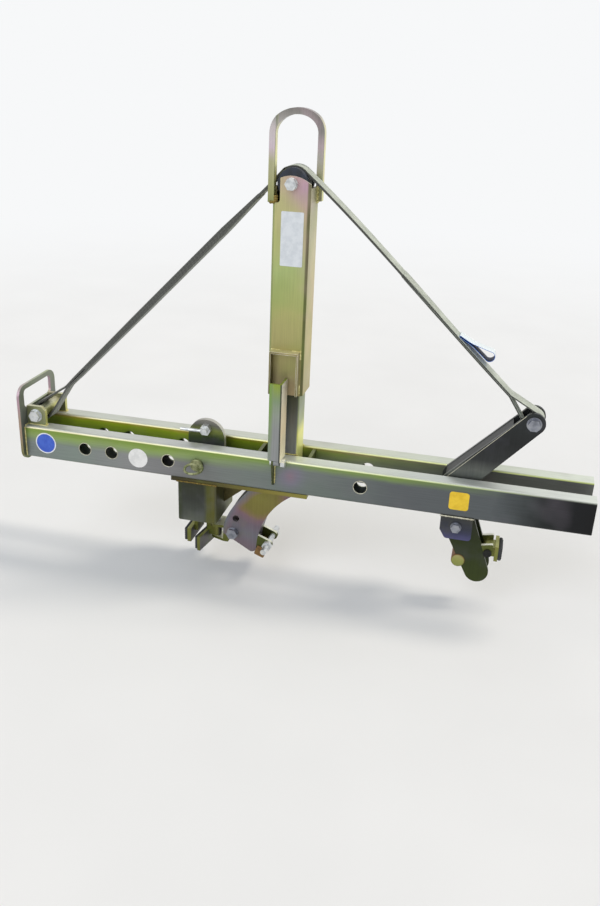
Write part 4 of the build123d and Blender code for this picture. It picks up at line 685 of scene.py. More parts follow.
strapSides = {
    "left": {"pin": "anchor_sleeve", "way": -1, "run": 840 * mm, "thins": 300 * mm, "travel": 50 * mm,
             "eyeStart": 90 * mm, "eyeLength": 112 * mm, "eyePly": 5.6 * mm, "tip": 2.2 * mm, "bow": 0.0,
             # the left strap's darker tones are painted shade of the same webbing
             "look": {"name": "shadedPolyesterWebbing", "tones": ("#6a6e67", "#83877f", "#9a9f95"),
                      "edge": "#595a55"}},
    "right": {"pin": "lever_sleeve", "way": 1, "run": 490 * mm, "thins": 110 * mm, "travel": 2 * mm,
              "eyeStart": 360 * mm, "eyeLength": 98 * mm, "eyePly": 4.0 * mm, "tip": 1.2 * mm,
              "bow": 5.5 * mm,
              "look": {"name": "polyesterWebbing", "tones": ("#a0a79a", "#b7beb0", "#ccd3c4"),
                       "edge": "#474843"}},
}


def strapRoute(side):
    # where the tape leaves the roller, its line to the pin and the way its outer face looks
    hub, pin = middle("strap_roller"), middle(side["pin"])
    reach = Vector((pin.x - hub.x, pin.z - hub.z))
    foot = math.atan2(reach.y, reach.x) + side["way"] * math.acos(strapFacts["mid"] / reach.length)
    foot %= 2 * math.pi
    ahead = foot - side["way"] * math.pi / 2
    return {
        "hub": Vector((hub.x, hub.z)), "foot": foot, "bow": side["bow"],
        "length": math.sqrt(reach.length ** 2 - strapFacts["mid"] ** 2),
        "ahead": Vector((math.cos(ahead), math.sin(ahead))), "out": Vector((math.cos(foot), math.sin(foot)))}


def onRoute(route, along, off):
    # stiff webbing bows outwards a little before it straightens; bowPeak makes the top equal to the bow
    share = min(1.0, max(0.0, along / strapFacts["bowSpan"]))
    off += route["bow"] * strapFacts["bowPeak"] * share * (1 - share) ** 2
    return route["hub"] + route["out"] * (strapFacts["mid"] + off) + route["ahead"] * along


def tapeMesh(name, line, halves, width, edge, outs=None, closed=False):
    # a flat tape along a line in the XZ plane, with rounded edges and UVs in metres; outs are the ways its
    # outer face looks, or else it stands square on the line
    grid = bmesh.new()
    uvs = grid.loops.layers.uv.new("cloth")
    rings, marks = [], []
    gone = 0.0
    count = len(line)
    for i, (point, half) in enumerate(zip(line, halves)):
        before = line[i - 1] if i or closed else point
        after = line[(i + 1) % count] if i < count - 1 or closed else point
        tangent = (after - before).normalized()
        normal = outs[i] if outs else Vector((-tangent.y, tangent.x))
        gone += (point - line[i - 1]).length if i else 0.0
        bend = min(edge, half * 0.95)  # a thin tape keeps a little of its flat edge
        ring = []
        for corner, (sy, sn) in enumerate(((1, 1), (-1, 1), (-1, -1), (1, -1))):
            for step in range(3):
                angle = math.radians(corner * 90 + step * 45)
                y = sy * (width / 2 - bend) + bend * math.cos(angle)
                off = sn * (half - bend) + bend * math.sin(angle)
                place = point + normal * off
                ring.append(grid.verts.new((place.x, y, place.y)))
        rings.append(ring)
        marks.append(gone)
    around, sides = [0.0], len(rings[0])
    for j in range(sides):
        around.append(around[-1] + (rings[0][(j + 1) % sides].co - rings[0][j].co).length)
    pairs = list(zip(range(count - 1), range(1, count)))
    if closed:
        pairs.append((count - 1, 0))
    for a, b in pairs:
        far = marks[b] if b else marks[a] + (line[0] - line[a]).length
        for j in range(sides):
            k = (j + 1) % sides
            face = grid.faces.new((rings[a][j], rings[b][j], rings[b][k], rings[a][k]))
            spots = ((marks[a], around[j]), (far, around[j]), (far, around[j + 1]), (marks[a], around[j + 1]))
            for loop, spot in zip(face.loops, spots):
                loop[uvs].uv = spot
            face.smooth = True
    if not closed:
        grid.faces.new(rings[0])
        grid.faces.new(rings[-1])
    bmesh.ops.recalc_face_normals(grid, faces=grid.faces)
    mesh = bpy.data.meshes.new(name)
    grid.to_mesh(mesh)
    grid.free()
    return mesh


def arcPoints(centre, radius, start, end, count):
    return [centre + radius * Vector((math.cos(a), math.sin(a)))
            for a in (start + (end - start) * i / count for i in range(count + 1))]


def evenRow(start, end, step):
    count = max(1, round((end - start) / step))
    return [start + (end - start) * i / count for i in range(count + 1)]


def runHalf(side, along):
    # half the run's thickness, which thins towards its sewn-in end
    share = min(1.0, max(0.0, (side["run"] - along) / side["thins"]))
    return (side["tip"] + (strapFacts["ply"] - side["tip"]) * share) / 2


def plyPlace(side, along):
    # middle and half thickness of the folded tape's outer ply
    facts = strapFacts
    thin = min(1.0, (along - side["eyeStart"]) / facts["eyeTaper"])
    ply = (facts["eyeThin"] + (side["eyePly"] - facts["eyeThin"]) * thin) / 2
    past = (along - side["run"] - side["travel"]) / facts["closeOver"]
    ease = min(1.0, max(0.0, past))
    run = runHalf(side, along - side["travel"]) + facts["slack"]
    return run * (1 - ease) + facts["closeGap"] * ease + ply, ply


def eyeLine(route, side):
    # the folded tape: along the outer face, round the pin and back along the inner face
    facts = strapFacts
    sewn = side["run"] + side["travel"]
    point = route["length"] - side["eyeLength"]
    closed = sewn + facts["closeOver"]
    marks = evenRow(side["eyeStart"], sewn, facts["sewnStep"])
    marks += evenRow(sewn, closed, facts["closeStep"])[1:] + evenRow(closed, point, facts["legStep"])[1:]
    legs = [(along,) + plyPlace(side, along) for along in marks]
    half, bend = side["eyePly"] / 2, facts["eyeBore"] + side["eyePly"] / 2
    touch = math.pi - math.acos(bend / (route["length"] - point))
    arc = arcPoints(Vector((route["length"], 0)), bend, touch, -touch, facts["eyeSteps"])
    loop = [(p.x, p.y, half) for p in arc]
    back = [(along, -off, ply) for along, off, ply in reversed(legs)]
    whole = legs + loop + back
    return [onRoute(route, along, off) for along, off, ply in whole], [ply for along, off, ply in whole]


def runLine(route, side):
    facts = strapFacts
    half = facts["ply"] / 2
    line, halves, outs = [], [], []
    if side["way"] > 0:
        # the right run carries the tape over the roller
        far = strapRoute(strapSides["left"])["foot"] - facts["lapGap"]
        line = arcPoints(route["hub"], facts["mid"], far, route["foot"], facts["arcSteps"])[:-1]
        halves = [half] * len(line)
        outs = [(point - route["hub"]).normalized() for point in line]
    else:
        # a thin lap of the left run covers the end of the right one
        lapStart = route["foot"] - facts["lapGap"] - facts["lapOver"]
        for share in facts["lapShares"]:
            angle = lapStart + (route["foot"] - lapStart) * share
            grown = facts["lapTip"] + (1 - facts["lapTip"]) * min(1.0, share / facts["lapFull"])
            lap = facts["lapPly"] / 2 * grown
            radius = facts["mid"] + half + facts["slack"] + lap
            outs.append(Vector((math.cos(angle), math.sin(angle))))
            line.append(route["hub"] + outs[-1] * radius)
            halves.append(lap)
    for along in evenRow(0.0, side["run"], facts["runStep"]):
        rise = 0.0
        if side["way"] < 0:
            # the lap's thickness runs out over the first stretch of the left run
            rise = (facts["lapPly"] + facts["slack"]) / 2 * max(0.0, 1 - along / facts["lapFade"])
        line.append(onRoute(route, along, rise))
        halves.append(runHalf(side, along) + rise)
        outs.append(route["out"])
    return line, halves, outs


def tagLine(route):
    # a loop of label tape: its legs lie close at the root and open into a drop at the end
    (*root, rootBend), (*end, endBend) = strapFacts["tagRoot"], strapFacts["tagEnd"]
    root, end = Vector(root), Vector(end)
    ahead = (end - root).normalized()
    beside = Vector((-ahead.y, ahead.x))
    lean = math.atan2(ahead.y, ahead.x)
    inset, neck = strapFacts["tagPly"] / 2, strapFacts["tagNeck"]
    upper, lower = [], []
    for share in (i / 10 for i in range(1, 10)):
        swell = max(0.0, (share - neck) / (1 - neck)) ** strapFacts["tagSwell"]
        gap = rootBend + (endBend - rootBend) * swell - inset
        upper.append(root.lerp(end, share) + beside * gap)
        lower.append(root.lerp(end, share) - beside * gap)
    loop = arcPoints(root, rootBend - inset, lean + 1.5 * math.pi, lean + 0.5 * math.pi, 8) + upper
    loop += arcPoints(end, endBend - inset, lean + 0.5 * math.pi, lean - 0.5 * math.pi, 14) + lower[::-1]
    return [onRoute(route, p.x, p.y) for p in loop]


def strapPieces():
    width, edge = strapFacts["width"], strapFacts["edge"]
    for name, side in strapSides.items():
        route, cloth = strapRoute(side), webbing(side["look"])
        line, halves, outs = runLine(route, side)
        run = addPiece("webbingRun." + name, tapeMesh(name, line, halves, width, edge, outs),
                       "strap_" + name, cloth)
        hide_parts("strap_%s_run" % name)
        line, halves = eyeLine(route, side)
        eye = addPiece("webbingEye." + name, tapeMesh(name, line, halves, width, edge),
                       "strap_%s_end" % name, cloth)
        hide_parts("strap_%s_eye" % name)
    line = tagLine(strapRoute(strapSides["right"]))
    tag = addPiece("labelTag", tapeMesh("tag", line, [strapFacts["tagPly"] / 2] * len(line),
                                        strapFacts["tagWidth"], strapFacts["tagEdge"], closed=True),
                   "strap_right_end", labelTape(tagLook))
    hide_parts("strap_tag")
    print("strap pieces made")


strapPieces()


def newTree(name, sockets):
    # a geometry tree with named inputs; gives the tree and its input sockets
    tree = bpy.data.node_groups.new(name, "GeometryNodeTree")
    tree.interface.new_socket("Geometry", in_out="INPUT", socket_type="NodeSocketGeometry")
    for socket, kind in sockets.items():
        tree.interface.new_socket(socket, in_out="INPUT", socket_type=kind)
    tree.interface.new_socket("Geometry", in_out="OUTPUT", socket_type="NodeSocketGeometry")
    return tree, tree.nodes.new("NodeGroupInput").outputs


def endTree(tree, shape, material):
    # real mesh, smooth, in its material
    real = addNode(tree, "GeometryNodeRealizeInstances", {0: shape})
    smooth = addNode(tree, "GeometryNodeSetShadeSmooth", {0: real.outputs[0]})
    finish = addNode(tree, "GeometryNodeSetMaterial", {0: smooth.outputs[0], "Material": material})
    addNode(tree, "NodeGroupOutput", {0: finish.outputs[0]})
    return tree


def beadTree():
    # round beads set along a path, lying on it by the path's own "up"
    tree, given = newTree("beadsOnPath", {
        "Pitch": "NodeSocketFloat", "Size": "NodeSocketVector", "Uneven": "NodeSocketFloat",
        "Finish": "NodeSocketMaterial"})
    path = addNode(tree, "GeometryNodeMeshToCurve", {0: given["Geometry"]})
    spaced = addNode(tree, "GeometryNodeResampleCurve", {
        "Curve": path.outputs[0], "Length": given["Pitch"]}, mode="LENGTH")
    bead = addNode(tree, "GeometryNodeMeshUVSphere", {"Segments": 8, "Rings": 6, "Radius": 0.5})
    tangent = addNode(tree, "GeometryNodeInputTangent")
    up = addNode(tree, "GeometryNodeInputNamedAttribute", {"Name": "up"}, data_type="FLOAT_VECTOR")
    turned = addNode(tree, "FunctionNodeAlignRotationToVector", {"Vector": tangent.outputs[0]}, axis="X")
    upright = addNode(tree, "FunctionNodeAlignRotationToVector", {
        "Rotation": turned.outputs[0], "Vector": up.outputs[0]}, axis="Z", pivot_axis="X")
    less = addNode(tree, "ShaderNodeMath", {0: 1.0, 1: given["Uneven"]}, operation="SUBTRACT")
    more = addNode(tree, "ShaderNodeMath", {0: 1.0, 1: given["Uneven"]}, operation="ADD")
    vary = addNode(tree, "FunctionNodeRandomValue", {2: less.outputs[0], 3: more.outputs[0], "Seed": 7},
                   data_type="FLOAT")
    size = addNode(tree, "ShaderNodeVectorMath", {
        0: given["Size"], "Scale": vary.outputs[1]}, operation="SCALE")
    placed = addNode(tree, "GeometryNodeInstanceOnPoints", {
        "Points": spaced.outputs[0], "Instance": bead.outputs[0], "Rotation": upright.outputs[0],
        "Scale": size.outputs[0]})
    return endTree(tree, placed.outputs[0], given["Finish"])


def wireTree():
    # a round wire along each path: painted edge highlights, rubber ribs and screw threads
    tree, given = newTree("wireOnPath", {
        "Radius": "NodeSocketFloat", "Sides": "NodeSocketInt", "Finish": "NodeSocketMaterial"})
    path = addNode(tree, "GeometryNodeMeshToCurve", {0: given["Geometry"]})
    section = addNode(tree, "GeometryNodeCurvePrimitiveCircle", {
        "Resolution": given["Sides"], "Radius": given["Radius"]})
    swept = addNode(tree, "GeometryNodeCurveToMesh", {
        "Curve": path.outputs[0], "Profile Curve": section.outputs[0], "Fill Caps": True})
    return endTree(tree, swept.outputs[0], given["Finish"])


def pathMesh(name, paths):
    # paths are lists of points with the way that is up on each; a path back at its start is a loop
    points, edges, ups = [], [], []
    for line, up in paths:
        first = len(points)
        loop = (line[0] - line[-1]).length < 1e-6
        kept = line[:-1] if loop else line
        points += kept
        ups += [up] * len(kept)
        edges += [(first + i, first + i + 1) for i in range(len(kept) - 1)]
        if loop:
            edges.append((first + len(kept) - 1, first))
    mesh = bpy.data.meshes.new(name)
    mesh.from_pydata([tuple(p) for p in points], edges, [])
    mark = mesh.attributes.new("up", "FLOAT_VECTOR", "POINT")
    for item, up in zip(mark.data, ups):
        item.vector = up
    return mesh


def runTree(name, tree, paths, settings, body):
    # evaluates the tree on its paths and keeps the result as one plain mesh
    carrier = bpy.data.objects.new(name + "Path", pathMesh(name + "Path", paths))
    bpy.context.scene.collection.objects.link(carrier)
    modifier = carrier.modifiers.new("nodes", "NODES")
    modifier.node_group = tree
    for item in tree.interface.items_tree:
        if item.in_out == "INPUT" and item.name in settings:
            modifier[item.identifier] = settings[item.name]
    view = bpy.context.evaluated_depsgraph_get()
    made = bpy.data.meshes.new_from_object(carrier.evaluated_get(view), depsgraph=view)
    carrier.modifiers.remove(modifier)
    bpy.data.objects.remove(carrier)
    made.name = name
    print(name, "made,", len(made.polygons), "faces")
    return addPiece(name, made, body)


beads, wire = beadTree(), wireTree()

# stitches of the folded strap ends
stitchFacts = {"pitch": 5.5 * mm, "size": (4.4 * mm, 1.1 * mm, 0.8 * mm), "uneven": 0.08, "inset": 5 * mm,
               "lead": 12 * mm, "step": 15 * mm, "zigzag": 16 * mm, "swing": 0.8, "sewn": 120 * mm}


def stitchRows(route, side):
    # two rows along the edges of the folded tape and a zigzag over the sewn stretch, on both faces
    half = strapFacts["width"] / 2 - stitchFacts["inset"]
    swing = half * stitchFacts["swing"]
    sewnEnd = side["run"] + side["travel"]
    marks = evenRow(side["eyeStart"] + stitchFacts["lead"], sewnEnd, stitchFacts["step"])
    count = round(stitchFacts["sewn"] / stitchFacts["zigzag"])
    turns = [(sewnEnd - stitchFacts["sewn"] + i * stitchFacts["zigzag"], i) for i in range(count + 1)]
    paths = []
    for face in (1, -1):
        up = Vector((route["out"].x, 0, route["out"].y)) * face

        def onFace(along, y):
            off, ply = plyPlace(side, along)
            spot = onRoute(route, along, face * (off + ply))
            return Vector((spot.x, y, spot.y))

        paths += [([onFace(along, y) for along in marks], up) for y in (-half, half)]
        paths.append(([onFace(along, swing if i % 2 else -swing) for along, i in turns], up))
    return paths


for sideName, side in strapSides.items():
    runTree("strapStitches." + sideName, beads, stitchRows(strapRoute(side), side), {
        "Pitch": stitchFacts["pitch"], "Size": stitchFacts["size"], "Uneven": stitchFacts["uneven"],
        "Finish": finishes["thread"]}, "strap_%s_end" % sideName)

# weld beads, and what the solids' boxes don't tell about the seams' places
weldFacts = {
    "seam": {"Pitch": 3.5 * mm, "Size": (6.5 * mm, 7 * mm, 4.5 * mm), "Uneven": 0.18},
    "heavy": {"Pitch": 2.6 * mm, "Size": (7.5 * mm, 9 * mm, 6 * mm), "Uneven": 0.16},
    "lugThick": 12 * mm, "inset": 6 * mm, "tack": 20 * mm, "low": 2 * mm, "armStart": 120 * mm,
}
bailFacts = {
    "legWide": 16 * mm, "legDeep": 24 * mm, "rows": (3 * mm, 9 * mm, 15 * mm), "rowIn": (3 * mm, 5 * mm),
    "rowLength": 7 * mm, "toe": 8 * mm, "toeIn": 2 * mm, "belowTop": 30 * mm, "legTop": 738,
    "sideOut": 1 * mm, "footOut": 2 * mm, "under": 2 * mm,
}


def seamLine(start, end, up):
    return [Vector(start), Vector(end)], Vector(up).normalized()


def mastSeams():
    # short tacks at the corners of the pocket on the mast's front
    low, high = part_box("latch_pocket")
    front, tack = mastLow.y, weldFacts["tack"]
    paths = []
    for x, way in ((low.x, -1), (high.x, 1)):
        paths.append(seamLine((x, front, high.z), (x - way * tack, front, high.z), (0, -1, 1)))
        paths += [seamLine((x, front, z), (x, front, z + lift * tack), (way, -1, 0))
                  for z, lift in ((high.z, -1), (low.z + weldFacts["low"], 1))]
    return paths


def bailSeams():
    # the bail's legs stand on the mast's flanks, the left one to the front, the right one to the back
    facts, foot, front = bailFacts, bailLow.z, bailLow.y
    inner, back = bailLow.x + facts["legWide"], front + facts["legDeep"]
    start, end = (front + part for part in facts["rowIn"])
    left = [
        seamLine((inner, start, foot + lift), (inner + facts["rowLength"], end, foot + lift), (0.3, -1, 0.2))
        for lift in facts["rows"]]
    left += [
        seamLine((bailLow.x + facts["toe"], front, foot), (inner, front + facts["toeIn"], foot), (0, -1, -1)),
        seamLine((mastLow.x, back, foot), (mastLow.x, back, mastHigh.z - facts["belowTop"]), (-1, 1, 0))]
    near = bailHigh.y - facts["legDeep"]
    side, under = mastHigh.x + facts["sideOut"], mastHigh.x + facts["footOut"]
    right = [
        seamLine((side, near, foot - facts["under"]), (side, near, above(facts["legTop"])), (1, -1, 0)),
        seamLine((under, near, foot), (under, bailHigh.y, foot), (1, 0, -1))]
    return left, right


def beamSeams():
    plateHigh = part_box("end_plate")[1]
    lugLow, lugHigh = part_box("anchor_lugs")
    webLow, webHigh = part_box("carriage_web")
    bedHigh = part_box("carriage_plate")[1]
    postLow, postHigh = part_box("inner_post")
    propLugLow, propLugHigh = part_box("prop_lug")
    inset = weldFacts["inset"]
    paths = []
    for node in ("front_rail", "rear_rail"):
        low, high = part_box(node)
        outer, inner, outward = (low.y, high.y, -1) if low.y < 0 else (high.y, low.y, 1)
        paths += [
            seamLine((plateHigh.x, low.y + inset, high.z), (plateHigh.x, high.y - inset, high.z), (1, 0, 1)),
            seamLine((plateHigh.x, outer, low.z + inset), (plateHigh.x, outer, high.z - inset),
                     (1, outward, 0)),
            seamLine((postLow.x, inner, high.z), (postHigh.x, inner, high.z), (0, -outward, 1))]
    for outer, side in ((lugLow.y, -1), (lugHigh.y, 1)):
        inner = outer - side * weldFacts["lugThick"]
        for y, way in ((outer, side), (inner, -side)):
            paths.append(seamLine((lugLow.x, y, lugLow.z), (lugHigh.x, y, lugLow.z), (0, way, 1)))
        paths.append(seamLine((lugHigh.x, outer, lugLow.z), (lugHigh.x, inner, lugLow.z), (1, 0, 1)))
    for y, way in ((webLow.y, -1), (webHigh.y, 1)):
        paths.append(seamLine((webLow.x, y, bedHigh.z), (webHigh.x, y, bedHigh.z), (0, way, 1)))
    for y, way in ((armLow.y, -1), (armHigh.y, 1)):
        paths.append(seamLine((armLow.x + weldFacts["armStart"], y, armHigh.z), (armHigh.x, y, armHigh.z),
                              (0, way, -1)))
    for x, way in ((propLugLow.x, -1), (propLugHigh.x, 1)):
        paths.append(seamLine((x, railLow.y, propLugLow.z + inset), (x, railLow.y, railHigh.z - inset),
                              (way, -1, 0)))
    return paths


def bracketSeams():
    return [seamLine((bracketLow.x, y, railLow.z), (bracketHigh.x, y, railLow.z), (0, way, -1))
            for y, way in ((bracketLow.y, -1), (bracketHigh.y, 1))]


def bedSeams():
    # round the top of the carriage box, in its shade
    paths = []
    for y, way in ((boxLow.y, -1), (boxHigh.y, 1)):
        paths.append(seamLine((boxLow.x, y, boxHigh.z), (boxHigh.x, y, boxHigh.z), (0, way, -1)))
    for x, way in ((boxLow.x, -1), (boxHigh.x, 1)):
        paths.append(seamLine((x, boxLow.y, boxHigh.z), (x, boxHigh.y, boxHigh.z), (way, 0, -1)))
    return paths


bailLeft, bailRight = bailSeams()
for name, paths, size, finish, body in (
        ("mastWeldBeads", mastSeams(), "seam", "weld", "mast"),
        ("bailWeldLeft", bailLeft, "heavy", "shadedWeld", "mast"),
        ("bailWeldRight", bailRight, "heavy", "weld", "mast"),
        ("beamWeldBeads", beamSeams(), "seam", "weld", "beam"),
        ("bracketWeldBeads", bracketSeams(), "seam", "rim", "beam"),
        ("bedWeldBeads", bedSeams(), "seam", "shadedWeld", "beam")):
    runTree(name, beads, paths, dict(weldFacts[size], Finish=finishes[finish]), body)

# painted highlight: pale rings round the pin holes in the outer walls of both rails, where the lit hole walls
# show
holeFacts = {"places": (-598, -513, -335, 236), "down": 50 * mm, "radius": 19.5 * mm, "steps": 32,
             "wire": 1.0 * mm}


def holeEdges():
    paths = []
    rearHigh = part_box("rear_rail")[1]
    for wall in (railLow.y, rearHigh.y):
        for x in holeFacts["places"]:
            centre = Vector((x * mm, railHigh.z - holeFacts["down"]))
            ring = arcPoints(centre, holeFacts["radius"], 0, 2 * math.pi, holeFacts["steps"])
            paths.append(([Vector((p.x, wall, p.y)) for p in ring], Vector(toTop)))
    return paths


# painted highlights along the edges of the pocket's bars
pocketFacts = {"wire": 0.7 * mm, "bar": 4 * mm, "lintel": 5 * mm}


def pocketEdges():
    low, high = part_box("latch_pocket")
    paths = []
    for inset, drop in ((0, 0), (pocketFacts["bar"], pocketFacts["lintel"])):
        corners = ((low.x + inset, low.z), (low.x + inset, high.z - drop), (high.x - inset, high.z - drop),
                   (high.x - inset, low.z))
        paths.append(([Vector((x, low.y, z)) for x, z in corners], Vector(toFront)))
    return paths


# painted highlights along the lever's upper arm
leverFacts = {"wire": 0.8 * mm, "out": (-0.73, 0.68), "ahead": (-0.68, -0.73), "length": 285 * mm}


def leverEdges():
    low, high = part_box("lever_front_plate")
    pin = middle("lever_bolt")
    start = Vector((pin.x, pin.z)) + Vector(leverFacts["out"]) * (high.x - pin.x)
    end = start + Vector(leverFacts["ahead"]) * leverFacts["length"]
    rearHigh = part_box("lever_rear_plate")[1]
    return [([Vector((p.x, y, p.y)) for p in (start, end)], Vector(toTop)) for y in (low.y, rearHigh.y)]


for name, paths, facts, body in (
        ("holeEdgeHighlights", holeEdges(), holeFacts, "beam"),
        ("pocketEdgeHighlights", pocketEdges(), pocketFacts, "mast"),
        ("leverEdgeHighlights", leverEdges(), leverFacts, "lever")):
    runTree(name, wire, paths, {
        "Radius": facts["wire"], "Sides": 6, "Finish": finishes["rim"]}, body)

# ribs moulded across the face of each rubber pad, 7 mm apart
ribFacts = {
    "wire": 1.5 * mm, "step": 7 * mm, "inset": 5 * mm,
    "pads": {
        "foot_rubber": {"body": "beam", "turn": 0, "way": -1},
        "jaw_pad_rubber": {"body": "jaw_pad", "turn": 0, "way": 1},
        "arm_pad_rubber": {"body": "arm_pad", "turn": -9, "way": -1, "pin": (-213 * mm, 0), "reach": 40 * mm,
                           "half": 72 * mm},
    },
}


def padRibs(node, facts):
    low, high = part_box(node)
    turn = math.radians(facts["turn"])
    if "pin" in facts:
        # this pad stands turned on its pin
        ahead = Vector((math.cos(turn), math.sin(turn)))
        face = Vector(facts["pin"]) + ahead * facts["way"] * facts["reach"]
        half = facts["half"]
    else:
        ahead = Vector((1, 0))
        face = Vector((low.x if facts["way"] < 0 else high.x, (low.y + high.y) / 2))
        half = (high.y - low.y) / 2
    across = Vector((-ahead.y, ahead.x)) * (half - ribFacts["inset"])
    paths = []
    for z in evenRow(low.z + ribFacts["inset"], high.z - ribFacts["inset"], ribFacts["step"]):
        ends = (face - across, face + across)
        paths.append(([Vector((p.x, p.y, z)) for p in ends], Vector(toTop)))
    return paths


for node, facts in ribFacts["pads"].items():
    runTree("ribs." + node, wire, padRibs(node, facts), {
        "Radius": ribFacts["wire"], "Sides": 8, "Finish": finishes["padRubber"]}, facts["body"])

# thread turns on the bolt ends that stand out of their nuts
threadFacts = {"pitch": 1.6 * mm, "wire": 0.55 * mm, "proud": 4 * mm, "perTurn": 16, "lead": 0.4, "bolts": {
    "anchor_bolt": ("beam", 10), "pivot_bolt": ("beam", 8), "arm_bolt": ("beam", 9),
    "lever_bolt": ("lever", 10), "roller_axle_bolt": ("mast", 9)}}


def threadTurns(bolt, radius):
    hub, end = middle(bolt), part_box(bolt)[1].y
    pitch, perTurn = threadFacts["pitch"], threadFacts["perTurn"]
    line = []
    for i in range(int(threadFacts["proud"] / pitch * perTurn)):
        angle = 2 * math.pi / perTurn * i
        along = end - pitch * (threadFacts["lead"] + i / perTurn)
        line.append(Vector((hub.x + radius * math.cos(angle), along, hub.z + radius * math.sin(angle))))
    return line, Vector(toBack)


for body in ("beam", "lever", "mast"):
    paths = [threadTurns(bolt, radius * mm) for bolt, (owner, radius) in threadFacts["bolts"].items()
             if owner == body]
    runTree("threadTurns." + body, wire, paths, {
        "Radius": threadFacts["wire"], "Sides": 5, "Finish": finishes["zinc"]}, body)

# Vinyl film and anodised plate, all blank: an even colour with a little scuffing; sizes in millimetres,
# heights from the top of the front rail
blankFilm = {"size": 14, "places": (0.35, 0.6), "rough": 0.4, "uneven": 0}
patchFacts = {
    "whiteRim": {"at": (-726, -48), "size": 33, "sides": 64, "thick": 0.3,
                 "film": dict(blankFilm, name="whiteRimVinyl", tones=("#dddfe2", "#eceef0"))},
    "blueDisc": {"at": (-726, -48), "size": 29.5, "sides": 64, "thick": 0.6,
                 "film": dict(blankFilm, name="blueVinyl", tones=("#2f55bd", "#3d63c8"))},
    "whiteDisc": {"at": (-429, -55), "size": 30, "sides": 64, "thick": 0.5,
                  "film": dict(blankFilm, name="whiteVinyl", tones=("#d9d9d6", "#e8e7e4"))},
    "yellowPatch": {"at": (511, -50), "size": 38, "sides": 4, "thick": 0.5, "bend": 8.36,
                    "film": dict(blankFilm, name="yellowVinyl", tones=("#dcb51c", "#e9c42a"))},
    "typePlate": {"box": (-25, 35, 540, 680), "thick": 0.8, "bend": 3,
                  "film": dict(blankFilm, name="blankTypePlate", tones=("#cdd2d6", "#dadee1"), rough=0.35)},
}


def patchMesh(name, facts):
    # a thin film on the front of the rail or the mast, its corners rounded
    if "box" in facts:
        left, right, low, high = facts["box"]
        front, corners = mastLow.y, [(left, low), (right, low), (right, high), (left, high)]
    else:
        (x, z), count = facts["at"], facts["sides"]
        front, corners = railLow.y, [
            (x + facts["size"] * math.cos(2 * math.pi * (i + 0.5) / count),
             z + facts["size"] * math.sin(2 * math.pi * (i + 0.5) / count)) for i in range(count)]
    grid = bmesh.new()
    thick = facts["thick"] * mm
    grid.faces.new([grid.verts.new((x * mm, front - thick, above(z))) for x, z in corners])
    if "bend" in facts:
        bmesh.ops.bevel(grid, geom=list(grid.verts), offset=facts["bend"] * mm, segments=6,
                        affect="VERTICES", profile=0.5)
    # the back and the edges follow the front's own ring, so each run gives them in the same order
    ring = list(grid.faces[:][0].verts)
    back = [grid.verts.new(corner.co + Vector((0, thick, 0))) for corner in ring]
    grid.faces.new(back)
    for j in range(len(ring)):
        grid.faces.new((ring[j - 1], ring[j], back[j], back[j - 1]))
    bmesh.ops.recalc_face_normals(grid, faces=grid.faces)
    mesh = bpy.data.meshes.new(name)
    grid.to_mesh(mesh)
    grid.free()
    return mesh


for name, facts in patchFacts.items():
    addPiece(name, patchMesh(name, facts), "mast" if "box" in facts else "beam",
             mottledFinish(facts["film"]))
print("blank patches and plate made")

# sizes of the floor in metres
stageFacts = {"half": 40.0, "below": 60 * mm, "haze": 0.5, "dark": "#e1e2e2", "light": "#e5e6e6",
              "rough": 0.9, "fadeFrom": 1.6, "fadeTo": 7.0, "sky": "#f7f8f9", "fill": "#f6f8fb",
              "fillPower": 0.6}
lampFacts = {
    "keySun": {"from": (0.62, 0.22, 0.75), "power": 1.6, "soft": 16, "colour": "#fff6e8"},
    "frontSun": {"from": (-0.35, -0.75, 0.55), "power": 1.1, "soft": 50, "colour": "#f4f7ff"},
}


def studioFloor():
    # a pale floor that keeps the shadow near the part and melts into the backdrop further off
    low = cadBox[0][2] - stageFacts["below"]
    half = stageFacts["half"]
    mesh = bpy.data.meshes.new("studioFloor")
    mesh.from_pydata([(-half, -half, low), (half, -half, low), (half, half, low), (-half, half, low)], [],
                     [(0, 1, 2, 3)])
    floor = bpy.data.objects.new("studioFloor", mesh)
    bpy.context.scene.collection.objects.link(floor)
    material, tree, shader = newMaterial("paintedFloor")
    spot = addNode(tree, "ShaderNodeTexCoord")
    haze = addNode(tree, "ShaderNodeTexNoise", {
        "Vector": spot.outputs["Object"], "Scale": 1 / stageFacts["haze"]})
    ramp = addNode(tree, "ShaderNodeValToRGB", {0: haze.outputs[0]}, stops=[
        (0.3, stageFacts["dark"]), (0.7, stageFacts["light"])])
    setInputs(shader, {"Base Color": ramp.outputs[0], "Roughness": stageFacts["rough"]})
    away = addNode(tree, "ShaderNodeVectorMath", {
        0: spot.outputs["Object"], 1: (0, 0, low)}, operation="DISTANCE")
    far = addNode(tree, "ShaderNodeMapRange", {
        "Value": away.outputs["Value"], "From Min": stageFacts["fadeFrom"], "From Max": stageFacts["fadeTo"]},
        interpolation_type="SMOOTHSTEP")
    melt = addNode(tree, "ShaderNodeMath", {0: far.outputs[0], 1: shownRays(tree)}, operation="MULTIPLY")
    glow = addNode(tree, "ShaderNodeEmission", {"Color": linear(stageFacts["sky"]), "Strength": 1.0})
    mixed = addNode(tree, "ShaderNodeMixShader", {
        0: melt.outputs[0], 1: shader.outputs[0], 2: glow.outputs[0]})
    setInputs(tree.nodes["Material Output"], {0: mixed.outputs[0]})
    mesh.materials.append(material)


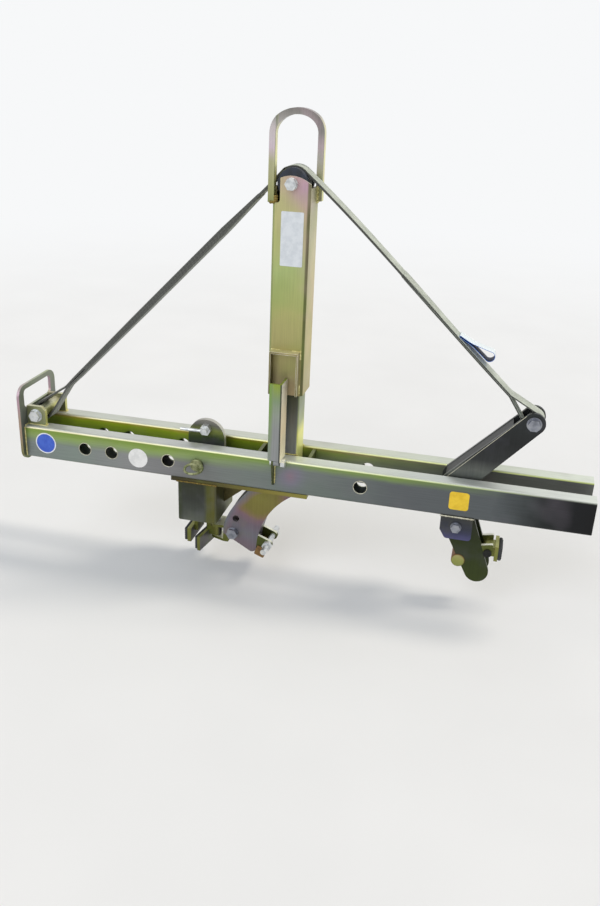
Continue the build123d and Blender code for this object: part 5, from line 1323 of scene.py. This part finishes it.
def shownRays(tree):
    # one for rays that show the backdrop: straight from the camera, mirrored or let through
    seen = addNode(tree, "ShaderNodeLightPath")
    either = addNode(tree, "ShaderNodeMath", {
        0: seen.outputs["Is Camera Ray"], 1: seen.outputs["Is Glossy Ray"]}, operation="MAXIMUM")
    return addNode(tree, "ShaderNodeMath", {
        0: either.outputs[0], 1: seen.outputs["Is Transmission Ray"]}, operation="MAXIMUM").outputs[0]


def studioLight():
    world = bpy.data.worlds.new("studio")
    bpy.context.scene.world = world
    world.use_nodes = True
    tree = world.node_tree
    tree.nodes.clear()
    fill = addNode(tree, "ShaderNodeBackground", {
        "Color": linear(stageFacts["fill"]), "Strength": stageFacts["fillPower"]})
    back = addNode(tree, "ShaderNodeBackground", {"Color": linear(stageFacts["sky"]), "Strength": 1.0})
    mixed = addNode(tree, "ShaderNodeMixShader", {0: shownRays(tree), 1: fill.outputs[0], 2: back.outputs[0]})
    addNode(tree, "ShaderNodeOutputWorld", {0: mixed.outputs[0]})
    for name, facts in lampFacts.items():
        data = bpy.data.lights.new(name, "SUN")
        data.energy = facts["power"]
        data.angle = math.radians(facts["soft"])
        data.color = linear(facts["colour"])[:3]
        lamp = bpy.data.objects.new(name, data)
        lamp.rotation_euler = Vector(facts["from"]).to_track_quat("Z", "Y").to_euler()
        bpy.context.scene.collection.objects.link(lamp)


cameraFacts = {"azimuth": 12.69, "elevation": 23.56, "roll": 2.45,
               "place": (0.5557, -2.2909, 0.1023), "lens": 34.92}


def photoCamera(facts):
    turn, tilt, roll = (math.radians(facts[name]) for name in ("azimuth", "elevation", "roll"))
    ahead = Vector((-math.sin(turn) * math.cos(tilt), math.cos(turn) * math.cos(tilt), -math.sin(tilt)))
    side = Vector((math.cos(turn), math.sin(turn), 0))
    over = side.cross(ahead)
    right = side * math.cos(roll) + over * math.sin(roll)
    top = over * math.cos(roll) - side * math.sin(roll)
    data = bpy.data.cameras.new("photoCamera")
    data.lens = facts["lens"]
    camera = bpy.data.objects.new("photoCamera", data)
    turned = Matrix((right, top, -ahead)).transposed().to_4x4()
    camera.matrix_world = Matrix.Translation(facts["place"]) @ turned
    bpy.context.scene.collection.objects.link(camera)
    bpy.context.scene.camera = camera


studioFloor()
studioLight()
photoCamera(cameraFacts)
bpy.context.scene.view_settings.view_transform = "Standard"
print("floor, light and camera set")
